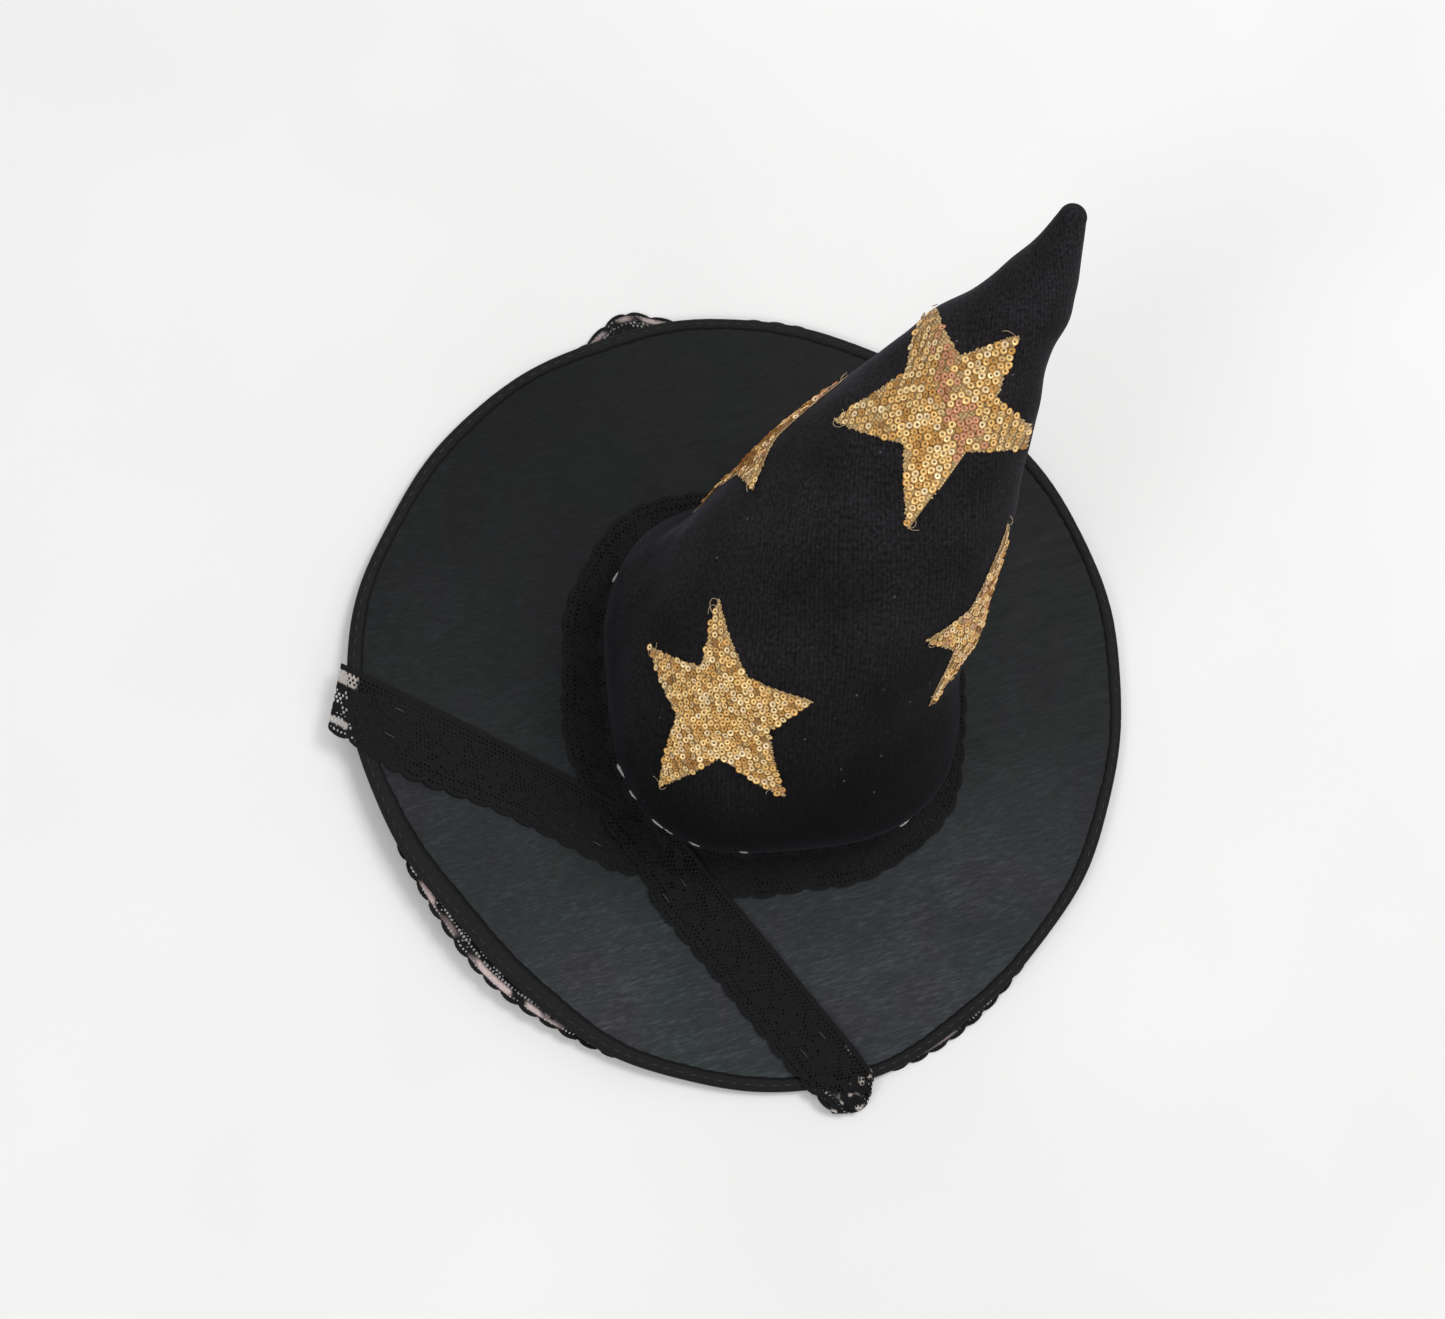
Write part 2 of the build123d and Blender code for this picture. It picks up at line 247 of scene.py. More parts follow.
def brim_lift(x, y):
    """How far the brim stands off its rest: it curls up at its front left."""
    dx, dy = x - BRIM_CENTRE[0], y - BRIM_CENTRE[1]
    angle, reach = np.arctan2(dy, dx), np.hypot(dx, dy) / rim_radius(np.arctan2(dy, dx))
    outward = smooth_step(reach, 0.5, 1.05)
    curl = 13.0 * angle_bump(angle, 240, 34) * outward
    wave = 1.1 * (1 + np.sin(2 * angle + 0.6)) + 0.7 * (1 + np.sin(5 * angle + 2))
    return curl + wave * smooth_step(reach, 0.45, 1.0) * (1 - 0.7 * angle_bump(angle, 240, 40))


brim_creases = unevenness(21, 22, 70)


def brim_points(share, angle, height, edge):
    """Points on a brim cloth: share runs from the crown's foot to the cloth's edge."""
    inside = foot_radius(angle) - 2.5
    outside = rim_radius(angle) - edge
    ix, iy = inside * np.cos(angle), inside * np.sin(angle)
    ox = BRIM_CENTRE[0] + outside * np.cos(angle)
    oy = BRIM_CENTRE[1] + outside * np.sin(angle)
    x, y = ix + (ox - ix) * share, iy + (oy - iy) * share
    z = height + brim_lift(x, y)
    return np.stack([x, y, z + 0 * share], -1)


def rim_points(angle, inset, height):
    """Points on a ring that keeps a distance inside the brim's rim."""
    reach = rim_radius(angle) - inset
    x = BRIM_CENTRE[0] + reach * np.cos(angle)
    y = BRIM_CENTRE[1] + reach * np.sin(angle)
    return np.stack([x, y, height + brim_lift(x, y)], -1)


# ---- Building meshes ----------------------------------------------------------------
def mesh_piece(name, points, faces, uv=None, marks=None):
    """A piece from points in mm. uv has one pair per face corner, in mm, kept as metres."""
    mesh = bpy.data.meshes.new(name)
    faces = faces.tolist() if isinstance(faces, np.ndarray) else faces
    mesh.from_pydata((np.asarray(points, float) * MM).tolist(), [], faces)
    mesh.update()
    if uv is not None:
        layer = mesh.uv_layers.new(name="cut")
        layer.data.foreach_set("uv", (np.asarray(uv, float) * MM).astype(np.float32).ravel())
    for label, values in (marks or {}).items():
        layer = mesh.attributes.new(label, "FLOAT", "POINT")
        layer.data.foreach_set("value", np.asarray(values, np.float32).ravel())
    mesh.polygons.foreach_set("use_smooth", [True] * len(mesh.polygons))
    piece = bpy.data.objects.new(name, mesh)
    bpy.context.scene.collection.objects.link(piece)
    return piece


def grid_faces(rows, columns, closed=False):
    """Quads between neighbouring points of a grid, and the grid places of their corners."""
    last = columns if closed else columns - 1
    i, j = np.meshgrid(np.arange(rows - 1), np.arange(last), indexing="ij")
    i, j = i.ravel(), j.ravel()
    corners = np.stack([i, j, i, j + 1, i + 1, j + 1, i + 1, j], -1).reshape(-1, 4, 2)
    return corners[..., 0] * columns + corners[..., 1] % columns, corners


def closing_faces(rows, columns):
    """Quads from a grid's last ring back to its first."""
    j = np.arange(columns)
    after, base = (j + 1) % columns, (rows - 1) * columns
    return np.stack([base + j, base + after, after, j], -1)


def joined(parts):
    """Points and faces of several shapes as those of one."""
    bases = np.cumsum([0] + [len(points) for points, _ in parts[:-1]])
    faces = [faces + base for (_, faces), base in zip(parts, bases)]
    return np.concatenate([points for points, _ in parts]), np.concatenate(faces)


def unit(rows):
    """Each row scaled to a length of 1."""
    return rows / np.linalg.norm(rows, axis=1)[:, None]


def finish_piece(piece, material, replaces=()):
    piece.data.materials.clear()
    piece.data.materials.append(material)
    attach(piece, BODY)
    if replaces:
        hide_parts(*replaces)
    return piece


def thicken(piece, thickness, offset=-1):
    """Gives a sheet its thickness in mm, as finished mesh."""
    solid = piece.modifiers.new("thickness", "SOLIDIFY")
    solid.thickness = thickness * MM
    solid.offset = offset
    select_only(piece)
    bpy.ops.object.modifier_apply(modifier=solid.name)


def select_only(piece):
    bpy.ops.object.select_all(action="DESELECT")
    piece.select_set(True)
    bpy.context.view_layer.objects.active = piece


def tube(points, radius, sides=10, closed=True):
    """Points and faces of a round tube along a line of points. radius may vary."""
    points = np.asarray(points, float)
    ahead = np.roll(points, -1, 0) - np.roll(points, 1, 0)
    if not closed:
        ahead[0], ahead[-1] = points[1] - points[0], points[-1] - points[-2]
    ahead = unit(ahead)
    side = unit(np.cross(ahead, np.array([0.0, 0.05, 1.0])))
    up = np.cross(side, ahead)
    turn = np.linspace(0, TURN, sides, endpoint=False)
    reach = np.broadcast_to(radius, len(points))[:, None, None]
    ring = np.cos(turn)[None, :, None] * side[:, None] + np.sin(turn)[None, :, None] * up[:, None]
    rings = points[:, None] + ring * reach
    faces, _ = grid_faces(len(points), sides, closed=True)
    if closed:
        faces = np.concatenate([faces, closing_faces(len(points), sides)])
    return rings.reshape(-1, 3), faces[:, ::-1]


def stitches(name, middles, ways, ups, length, width, arch=0.35):
    """Short threads lying on cloth, each dipping into it at both ends."""
    steps = np.linspace(-1, 1, 6)
    turn = np.linspace(0, TURN, 6, endpoint=False)
    threads = []
    faces, _ = grid_faces(len(steps), len(turn), closed=True)
    for middle, way, up in zip(middles, ways, ups):
        side = np.cross(up, way)
        line = middle + np.outer(steps, way) * length / 2
        line = line + np.outer(arch * (1 - steps**2) - 0.3 * steps**4, up)
        reach = width / 2 * (1 - 0.35 * steps**4)
        ring = np.cos(turn)[None, :, None] * side + np.sin(turn)[None, :, None] * up
        threads.append(((line[:, None] + ring * reach[:, None, None]).reshape(-1, 3), faces))
    return mesh_piece(name, *joined(threads))


# ---- Materials ----------------------------------------------------------------------
WAVE_BAND = 0.314              # a wave texture's bands repeat every 0.314 of its scale
MULTIPLY = {"data_type": "RGBA", "blend_type": "MULTIPLY", "out": 2}


def linear(colour):
    """A #rrggbb colour as the linear values that shaders take."""
    values = [int(colour[i : i + 2], 16) / 255 for i in (1, 3, 5)]
    return (*[v / 12.92 if v <= 0.04045 else ((v + 0.055) / 1.055) ** 2.4 for v in values], 1.0)


def add_node(tree, kind, inputs=None, stops=(), out=0, **settings):
    """Adds a node with its settings, its values or links by input, and its ramp stops.
    Gives the output that out names, or the node when out is None."""
    node = tree.nodes.new("ShaderNode" + kind)
    for key, value in settings.items():
        setattr(node, key, value)
    for key, value in (inputs or {}).items():
        if isinstance(value, bpy.types.NodeSocket):
            tree.links.new(value, node.inputs[key])
        else:
            value = linear(value) if isinstance(value, str) else value
            node.inputs[key].default_value = value
    for index, (place, colour) in enumerate(stops):
        ramp = node.color_ramp.elements
        stop = ramp[index] if index < 2 else ramp.new(place)
        stop.position, stop.color = place, linear(colour)
    return node if out is None else node.outputs[out]


def start_material(name, **sockets):
    """A Principled material with its uniform values set on the shader itself."""
    material = bpy.data.materials.new(name)
    material.use_nodes = True
    tree = material.node_tree
    tree.nodes.clear()
    values = {key.replace("_", " "): value for key, value in sockets.items()}
    shader = add_node(tree, "BsdfPrincipled", values, out=None)
    add_node(tree, "OutputMaterial", {"Surface": shader.outputs[0]}, out=None)
    return material, tree, shader


def wired(material, shader, colour, normal=None, rough=None):
    """Links a material's colour, normal and roughness to its shader."""
    for key, output in (("Base Color", colour), ("Normal", normal), ("Roughness", rough)):
        if output:
            material.node_tree.links.new(output, shader.inputs[key])
    return material


def ribbed_velvet():
    """Ribbed polyester stretch velvet, knitted and brushed: fine cords that swallow light
    face on and catch a cool bloom where the cloth turns away."""
    material, tree, shader = start_material(
        "ribbed_polyester_velvet_brushed", Roughness=0.9, Sheen_Weight=0.16, Sheen_Roughness=0.25,
        Sheen_Tint="#8b87a0", Specular_IOR_Level=0.12,
    )
    cut = add_node(tree, "UVMap", uv_map="cut")
    bias = add_node(tree, "Mapping", {0: cut, "Rotation": (0, 0, math.radians(32))})
    # 1.9 mm cords
    ribs = add_node(
        tree, "TexWave",
        {0: bias, "Scale": WAVE_BAND / (1.9 * MM), "Distortion": 0.9, "Detail": 1.0,
         "Detail Scale": 0.12}, out="Fac"
    )
    knit = add_node(tree, "TexNoise", {0: bias, "Scale": 560.0, "Detail": 4.0, "Roughness": 0.7})
    patch = add_node(tree, "TexNoise", {0: cut, "Scale": 26.0, "Detail": 4.0})
    tone = add_node(tree, "ValToRGB", {0: patch}, stops=((0.32, "#2a282b"), (0.7, "#3d3a3e")))
    lit = add_node(tree, "ValToRGB", {0: ribs}, stops=((0.1, "#dedede"), (0.85, "#ffffff")))
    shade = add_node(tree, "Mix", {0: 1.0, 6: tone, 7: lit}, **MULTIPLY)
    fluff = add_node(tree, "ValToRGB", {0: knit}, stops=((0.36, "#848484"), (0.66, "#ffffff")))
    colour = add_node(tree, "Mix", {0: 1.0, 6: shade, 7: fluff}, **MULTIPLY)
    # painted shade and light: the tone goes from dark at the crown's foot to pale at its tip, set
    # by place alone
    spot = add_node(tree, "TexCoord", out="Object")
    leaned = add_node(tree, "Mapping", {0: spot, "Rotation": (0, math.radians(30), 0)})
    height = add_node(tree, "SeparateXYZ", {0: leaned}, out=2)
    painted_shade_and_tip_light = add_node(
        tree, "ValToRGB", {0: add_node(tree, "MapRange", {0: height, 1: 0.0, 2: 0.3})},
        stops=((0.1, "#7c7c7c"), (0.86, "#ffffff"), (0.36, "#c2c2c2"))
    )
    colour = add_node(tree, "Mix", {0: 1.0, 6: colour, 7: painted_shade_and_tip_light}, **MULTIPLY)
    rib_bump = add_node(tree, "Bump", {"Strength": 0.22, "Distance": 0.5 * MM, "Height": ribs})
    nap = add_node(
        tree, "Bump", {"Strength": 0.55, "Distance": 0.25 * MM, "Height": knit, "Normal": rib_bump}
    )
    lint = add_node(tree, "TexVoronoi", {0: cut, "Scale": 95.0, "Randomness": 1.0}, out="Distance")
    speck = add_node(tree, "MapRange", {0: lint, 1: 0.025, 2: 0.06, 3: 0.38, 4: 0.0})
    dusted = add_node(tree, "Mix", {0: speck, 6: colour, 7: "#8d8a92"}, data_type="RGBA", out=2)
    return wired(material, shader, dusted, nap)


def woven_satin(name, dark, middle, light, sheen, angle, gloss):
    """Polyester satin, woven with long floats and pressed: short bright streaks lie all one
    way, partly painted glints, and the pile of tone drifts softly over the cloth, with
    painted shade towards the back and painted sheen towards the front."""
    material, tree, shader = start_material(
        name, Sheen_Weight=0.025, Sheen_Roughness=0.4, Sheen_Tint=sheen, Specular_IOR_Level=0.15,
    )
    place = add_node(tree, "TexCoord", out="Object")
    turned = add_node(tree, "Mapping", {0: place, "Rotation": (0, 0, -math.radians(angle))})
    along = add_node(tree, "Mapping", {0: turned, "Scale": (0.19, 1.0, 1.0)})
    # 1.3 mm streaks of float about 7 mm long, drawn coarser than the real 0.2 mm yarn
    streak = add_node(
        tree, "TexNoise", {0: along, "Scale": 780.0, "Detail": 4.0, "Roughness": 0.75}
    )
    slub = add_node(tree, "TexNoise", {0: along, "Scale": 210.0, "Detail": 3.0, "Roughness": 0.6})
    cloud = add_node(tree, "TexNoise", {0: place, "Scale": 11.0, "Detail": 5.0, "Roughness": 0.62})
    weave = add_node(tree, "Math", {0: streak, 1: 2.0, 2: slub}, operation="MULTIPLY_ADD")
    mixed = add_node(tree, "Math", {0: cloud, 1: 0.5, 2: weave}, operation="MULTIPLY_ADD")
    spread = add_node(tree, "MapRange", {0: mixed, 1: 1.3, 2: 2.25})
    # the streaks are painted paler in the colour as well as raised by the bump: partly the weave's
    # real floats, partly painted glints
    grey = add_node(tree, "ValToRGB", {0: spread}, stops=((0.1, dark), (1.0, light), (0.5, middle)))
    # painted shade and sheen: the cloth goes from dark at the back to pale at the front, set by
    # place alone
    away = add_node(tree, "Mapping", {0: place, "Rotation": (0, 0, math.radians(58))})
    front = add_node(tree, "SeparateXYZ", {0: away})
    patchy = add_node(tree, "Math", {0: cloud, 1: 0.12, 2: front}, operation="MULTIPLY_ADD")
    painted_light_and_shade = add_node(tree, "MapRange", {0: patchy, 1: -0.06, 2: 0.225})
    painted_sheen_and_shade = add_node(
        tree, "ValToRGB", {0: painted_light_and_shade}, stops=((0.0, "#747474"), (1.0, "#ffffff"), (0.5, "#a0a0a0"))
    )
    drift = add_node(tree, "TexNoise", {0: place, "Scale": 19.0, "Detail": 3.0, "Roughness": 0.6})
    cast = add_node(tree, "ValToRGB", {0: drift}, stops=((0.35, "#e9fff2"), (0.65, "#fff2ff")))
    colour = add_node(tree, "Mix", {0: 1.0, 6: grey, 7: cast}, **MULTIPLY)
    colour = add_node(tree, "Mix", {0: 1.0, 6: colour, 7: painted_sheen_and_shade}, **MULTIPLY)
    rough = add_node(tree, "MapRange", {0: slub, 1: 0.3, 2: 0.75, 3: gloss, 4: gloss + 0.16})
    bump = add_node(tree, "Bump", {"Strength": 0.7, "Distance": 0.3 * MM, "Height": streak})
    soft = add_node(
        tree, "Bump", {"Strength": 0.5, "Distance": 1.1 * MM, "Height": cloud, "Normal": bump}
    )
    return wired(material, shader, colour, soft, rough)


def fine_weave(name, dark, light, pitch, roughness, depth, sheen=0.25):
    """Plain woven or felted cloth, dyed in the piece: warp and weft at a real thread
    spacing, which gives the eye a dull even tooth."""
    material, tree, shader = start_material(
        name, Roughness=roughness, Sheen_Weight=sheen, Sheen_Roughness=0.5, Sheen_Tint="#9a9aa4",
        Specular_IOR_Level=0.25,
    )
    cut = add_node(tree, "UVMap", uv_map="cut")
    threads = {0: cut, "Scale": WAVE_BAND / (pitch * MM), "Distortion": 0.6, "Detail": 2.0}
    warp = add_node(tree, "TexWave", threads, bands_direction="X", out="Fac")
    weft = add_node(tree, "TexWave", threads, bands_direction="Y", out="Fac")
    tooth = add_node(tree, "Math", {0: warp, 1: weft}, operation="MULTIPLY")
    fibre = add_node(tree, "TexNoise", {0: cut, "Scale": 420.0, "Detail": 4.0, "Roughness": 0.7})
    mixed = add_node(tree, "Math", {0: tooth, 1: 0.5, 2: fibre}, operation="MULTIPLY_ADD")
    colour = add_node(tree, "ValToRGB", {0: mixed}, stops=((0.35, dark), (0.95, light)))
    bump = add_node(tree, "Bump", {"Strength": 0.7, "Distance": depth * MM, "Height": mixed})
    return wired(material, shader, colour, bump)


def grosgrain():
    """Grosgrain ribbon, woven of polyester: crosswise cords about 1 mm apart."""
    material, tree, shader = start_material(
        "grosgrain_polyester_woven", Roughness=0.6, Sheen_Weight=0.3, Specular_IOR_Level=0.4
    )
    cut = add_node(tree, "UVMap", uv_map="cut")
    cords = add_node(
        tree, "TexWave", {0: cut, "Scale": WAVE_BAND / (1.1 * MM), "Distortion": 0.3}, out="Fac"
    )
    fibre = add_node(tree, "TexNoise", {0: cut, "Scale": 700.0, "Detail": 3.0})
    mixed = add_node(tree, "Math", {0: fibre, 1: 0.5, 2: cords}, operation="MULTIPLY_ADD")
    colour = add_node(tree, "ValToRGB", {0: mixed}, stops=((0.2, "#101012"), (1.0, "#2d2d31")))
    bump = add_node(tree, "Bump", {"Strength": 0.8, "Distance": 0.35 * MM, "Height": mixed})
    return wired(material, shader, colour, bump)


def knitted_lace(name, pale):
    """Nylon lace, knitted with a heavier outline thread: dull black threads, painted pale
    where the marks say: painted glints and highlights where the light catches the net and
    cords, and the pale floor seen through the net painted onto it."""
    material, tree, shader = start_material(
        name, Roughness=0.72, Sheen_Weight=0.03, Sheen_Roughness=0.5, Specular_IOR_Level=0.16
    )
    cut = add_node(tree, "UVMap", uv_map="cut")
    # threads 0.9 mm apart, of which about half is raised
    thread = add_node(
        tree, "TexWave", {0: cut, "Scale": WAVE_BAND / (0.9 * MM), "Distortion": 5.0, "Detail": 2.0,
        "Detail Scale": 0.6}, bands_direction="DIAGONAL", out="Fac"
    )
    fibre = add_node(tree, "TexNoise", {0: cut, "Scale": 480.0, "Detail": 3.0})
    mixed = add_node(tree, "Math", {0: thread, 1: 0.45, 2: fibre}, operation="MULTIPLY_ADD")
    black = add_node(tree, "ValToRGB", {0: mixed}, stops=((0.3, "#070708"), (0.95, "#151417")))
    mark = add_node(tree, "Attribute", attribute_name="pale", out="Fac")
    colour = add_node(tree, "Mix", {0: mark, 6: black, 7: pale}, data_type="RGBA", out=2)
    bump = add_node(tree, "Bump", {"Strength": 0.8, "Distance": 0.3 * MM, "Height": mixed})
    return wired(material, shader, colour, bump)


def sequin_film():
    """Metallised polyester film, cupped and punched: bright gold with a warmer tone from piece
    to piece, and on each cup a painted highlight round the hole with painted shade at its
    outer edge and at the hole. It is drawn with a low metallic value for its soft brightness,
    which is a choice of look: such film is a full metal on its surface."""
    material, tree, shader = start_material("sequin_polyester_film_metallised", Metallic=0.25)
    place = add_node(tree, "TexCoord", out="Object")
    tint = add_node(tree, "Attribute", attribute_name="tint", out="Fac")
    scratch = add_node(tree, "TexNoise", {0: place, "Scale": 1500.0, "Detail": 2.0})
    cup = add_node(tree, "Attribute", attribute_name="cup", out="Fac")
    # painted highlight round each cup's hole, with painted shade at its outer edge and at the hole
    painted_light_and_shade = add_node(
        tree, "ValToRGB", {0: cup}, stops=((0.0, "#b08c58"), (0.28, "#f7e3bb"), (0.55, "#ffffff"),
        (0.9, "#fff3dc"), (1.0, "#7d5d36"))
    )
    base = add_node(
        tree, "ValToRGB", {0: tint}, stops=((0.0, "#a3773a"), (0.2, "#d6a557"), (0.42, "#fbd68f"),
        (0.62, "#ffe6ae"), (0.82, "#fff0d0"), (0.93, "#dba184"))
    )
    gold = add_node(tree, "Mix", {0: 1.0, 6: base, 7: painted_light_and_shade}, **MULTIPLY)
    rough = add_node(tree, "MapRange", {0: scratch, 1: 0.3, 2: 0.75, 3: 0.24, 4: 0.46})
    bump = add_node(tree, "Bump", {"Strength": 0.3, "Distance": 0.08 * MM, "Height": scratch})
    return wired(material, shader, gold, bump, rough)


def twisted_thread(name, dark, light):
    """Spun polyester sewing thread, twisted: a dull line with a slight diagonal grain."""
    material, tree, shader = start_material(
        name, Roughness=0.6, Sheen_Weight=0.3, Specular_IOR_Level=0.4
    )
    place = add_node(tree, "TexCoord", out="Object")
    ply = add_node(
        tree, "TexWave", {0: place, "Scale": WAVE_BAND / (0.5 * MM), "Distortion": 2.0},
        bands_direction="DIAGONAL", out="Fac"
    )
    colour = add_node(tree, "ValToRGB", {0: ply}, stops=((0.1, dark), (0.9, light)))
    bump = add_node(tree, "Bump", {"Strength": 0.6, "Distance": 0.1 * MM, "Height": ply})
    return wired(material, shader, colour, bump)


def drawn_metal(name, dark, light, roughness):
    """Drawn or crimped metal: fine lengthwise marks and dull handling spots."""
    material, tree, shader = start_material(name, Metallic=1.0)
    place = add_node(tree, "TexCoord", out="Object")
    mark = add_node(tree, "TexNoise", {0: place, "Scale": 600.0, "Detail": 5.0})
    colour = add_node(tree, "ValToRGB", {0: mark}, stops=((0.3, dark), (0.7, light)))
    rough = add_node(tree, "MapRange", {0: mark, 1: 0.3, 2: 0.7, 3: roughness, 4: roughness + 0.2})
    return wired(material, shader, colour, rough=rough)


def hot_glue():
    """Hot-melt glue, cooled in blobs: a milky clear lump with a wet shine."""
    material, tree, shader = start_material(
        "hot_melt_glue_cooled", Roughness=0.16, IOR=1.5, Subsurface_Weight=0.35,
        Subsurface_Radius=(1.0, 1.0, 0.9), Subsurface_Scale=0.002, Transmission_Weight=0.45,
    )
    place = add_node(tree, "TexCoord", out="Object")
    milk = add_node(tree, "TexNoise", {0: place, "Scale": 350.0, "Detail": 3.0})
    colour = add_node(tree, "ValToRGB", {0: milk}, stops=((0.3, "#aaa9a5"), (0.7, "#efeeeb")))
    bump = add_node(tree, "Bump", {"Strength": 0.3, "Distance": 0.3 * MM, "Height": milk})
    return wired(material, shader, colour, bump)


# ---- Lace ---------------------------------------------------------------------------
LACE_WIDTH = 33.0
SCALLOP = 12.0                 # length of one scallop
NET_PITCH = 2.2                # between the net's threads
FLOWER_PITCH = 26.0            # from flower to flower along the lace


def lace_pattern(u, v):
    """Height of the lace's threads in mm at a place on the ribbon, below zero in a hole.
    u runs along it, v across it from the straight selvedge to the scalloped edge."""
    edge = LACE_WIDTH - 2.0 + 2.0 * np.sqrt(np.abs(np.sin(math.pi * u / SCALLOP)))
    from_edge = edge - v
    # diamond net
    one = np.abs((u + v * 0.62) % NET_PITCH - NET_PITCH / 2)
    two = np.abs((u - v * 0.62) % NET_PITCH - NET_PITCH / 2)
    solid = 0.4 - np.minimum(one, two)
    solid = np.maximum(solid, 1.3 - np.abs(v - 1.4))                 # selvedge
    solid = np.maximum(solid, 0.35 - np.abs(v - 4.4))
    solid = np.maximum(solid, 0.9 - np.abs(from_edge - 1.0))         # outline cord
    solid = np.maximum(solid, 0.55 - np.abs(from_edge - 3.6))
    # small fan in each scallop
    across = (u % SCALLOP) - SCALLOP / 2
    fan = np.hypot(across, from_edge - 4.6)
    solid = np.maximum(solid, 1.5 - fan)
    # flowers, with a leaf to each side
    place = (u % FLOWER_PITCH) - FLOWER_PITCH / 2
    rise = v - 16.5
    reach, turn = np.hypot(place, rise * 0.86), np.arctan2(rise, place)
    petals = 6.6 + 1.9 * np.cos(6 * turn + 0.5) - reach
    veins = 0.35 - np.abs(np.abs(((turn + 0.35) % (TURN / 6)) - TURN / 12) * reach - 1.35)
    petals = np.where((veins > 0) & (reach > 2.6) & (reach < 6.2), -0.2, petals)
    flower = np.minimum(petals, reach - 1.25)
    solid = np.maximum(solid, flower)
    for way in (-1, 1):
        lx = ((u + FLOWER_PITCH / 2) % FLOWER_PITCH) - FLOWER_PITCH / 2
        ly = v - 15.5 + way * 6.4
        long = (lx * 0.86 + way * ly * 0.5) / 5.6
        short = (-way * lx * 0.5 + ly * 0.86) / 2.5
        leaf = (1 - np.hypot(long, short)) * 2.3
        leaf = np.minimum(leaf, np.abs(ly * 0.86 - way * lx * 0.5) - 0.28)
        solid = np.maximum(solid, leaf)
    stem = 0.5 - np.abs(v - 24.6 + 1.1 * np.sin(TURN * u / FLOWER_PITCH))
    solid = np.maximum(solid, stem)
    return np.minimum(solid, from_edge)


def lace_piece(name, place, length, step_along, step_across, pale, start=0.0):
    """Lace cut from its pattern and laid on a surface: place(u, v) gives points in mm."""
    u = np.arange(0, length + step_along, step_along)
    v = np.arange(0, LACE_WIDTH + step_across, step_across)
    uu, vv = np.meshgrid(u, v, indexing="ij")
    field = lace_pattern(uu + start, vv)
    slope_u = np.gradient(field, step_along, axis=0)
    slope_v = np.gradient(field, step_across, axis=1)
    steep = np.maximum(slope_u**2 + slope_v**2, 0.2)
    move = np.clip(-field / steep, -0.3, 0.3) * (np.abs(field) < 0.4)
    us, vs = uu + slope_u * move, vv + slope_v * move
    faces, _ = grid_faces(len(u), len(v))
    flat = field.ravel()
    keep = flat[faces].mean(1) > 0
    faces = faces[keep]
    used = np.unique(faces)
    renumber = np.full(flat.size, -1)
    renumber[used] = np.arange(len(used))
    us, vs = us.ravel()[used], vs.ravel()[used]
    points = place(us, vs, np.clip(flat[used], 0, 0.9))
    faces = renumber[faces]
    uv = np.stack([us + start, vs], -1)[faces]
    return mesh_piece(name, points, faces, uv.reshape(-1, 2), {"pale": pale(us, vs)})


# The ribbon is one length: in from its left end, once round the crown, out to its right.
LEFT_END = np.array([-186.0, -128.5])
LEFT_WAY = math.radians(6)
RIGHT_ROOT = np.array([4.0, -116.0])
RIGHT_WAY = math.radians(-17)
LEFT_RUN, JOIN, RIGHT_RUN = 162.0, 42.0, 134.0
RIGHT_FOLDED = 23.0            # the rest of the right tail, to its fold and back under it
RING_START, RING_END = math.radians(-80), math.radians(255)
RING_RADIUS = CROWN_RADIUS + 1.5   # of the wound ribbon's middle
JOIN_RADIUS = 96.0             # how tightly the ribbon turns where a tail leaves the crown
RING_RUN = (RING_END - RING_START) * RING_RADIUS
RIBBON_LENGTH = LEFT_RUN + JOIN + RING_RUN + JOIN + RIGHT_RUN + RIGHT_FOLDED
ribbon_waves = unevenness(31, 18, 60)


def ring_section(angle, v):
    """The wound ribbon: it stands against the crown, turns and lies out on the brim."""
    standing = 10.5 + 8.0 * angle_bump(angle, 12, 34) + 1.2 * np.sin(3 * angle)
    bend = 2.6
    arc = bend * math.pi / 2
    down = np.clip(v, 0, standing)
    turn = np.clip(v - standing, 0, arc) / bend
    flat = np.clip(v - standing - arc, 0, None)
    out = 0.7 + bend * (1 - np.cos(turn)) + flat
    high = 0.5 + bend * (1 - np.sin(turn)) + (standing - down)
    wander = 1.5 * np.sin(angle * 5 + 0.7) + 1.0 * np.sin(angle * 11 + 2)
    reach = foot_radius(angle) + out + wander * smooth_step(flat, 2, 18)
    x, y = reach * np.cos(angle), reach * np.sin(angle)
    ripple = (0.5 + 0.5 * np.sin(angle * 17 + 1)) * smooth_step(flat, 4, 19) * 1.5
    z = TOP_HEIGHT + 0.35 + high + ripple + brim_lift(x, y)
    return np.stack([x, y, z], -1)


def tail_section(origin, way, run, v, height, sway, drop):
    """A ribbon tail lying on the brim. v 16.5 is its middle, the scallops to its right."""
    x = origin[0] + run * math.cos(way) + (v - LACE_WIDTH / 2) * math.sin(way)
    y = origin[1] + run * math.sin(way) - (v - LACE_WIDTH / 2) * math.cos(way) + sway
    wave = ribbon_waves(np.stack([x, y, 0 * x], -1)) * 0.35 + 0.45
    past = np.hypot(x - BRIM_CENTRE[0], y - BRIM_CENTRE[1]) - rim_radius(
        np.arctan2(y - BRIM_CENTRE[1], x - BRIM_CENTRE[0])
    )
    over_hem = 0.75 * smooth_step(past, -9, -3)
    z = TOP_HEIGHT + height + wave + over_hem + brim_lift(x, y) - drop * smooth_step(past, 1, 16)
    return np.stack([x, y, z], -1)


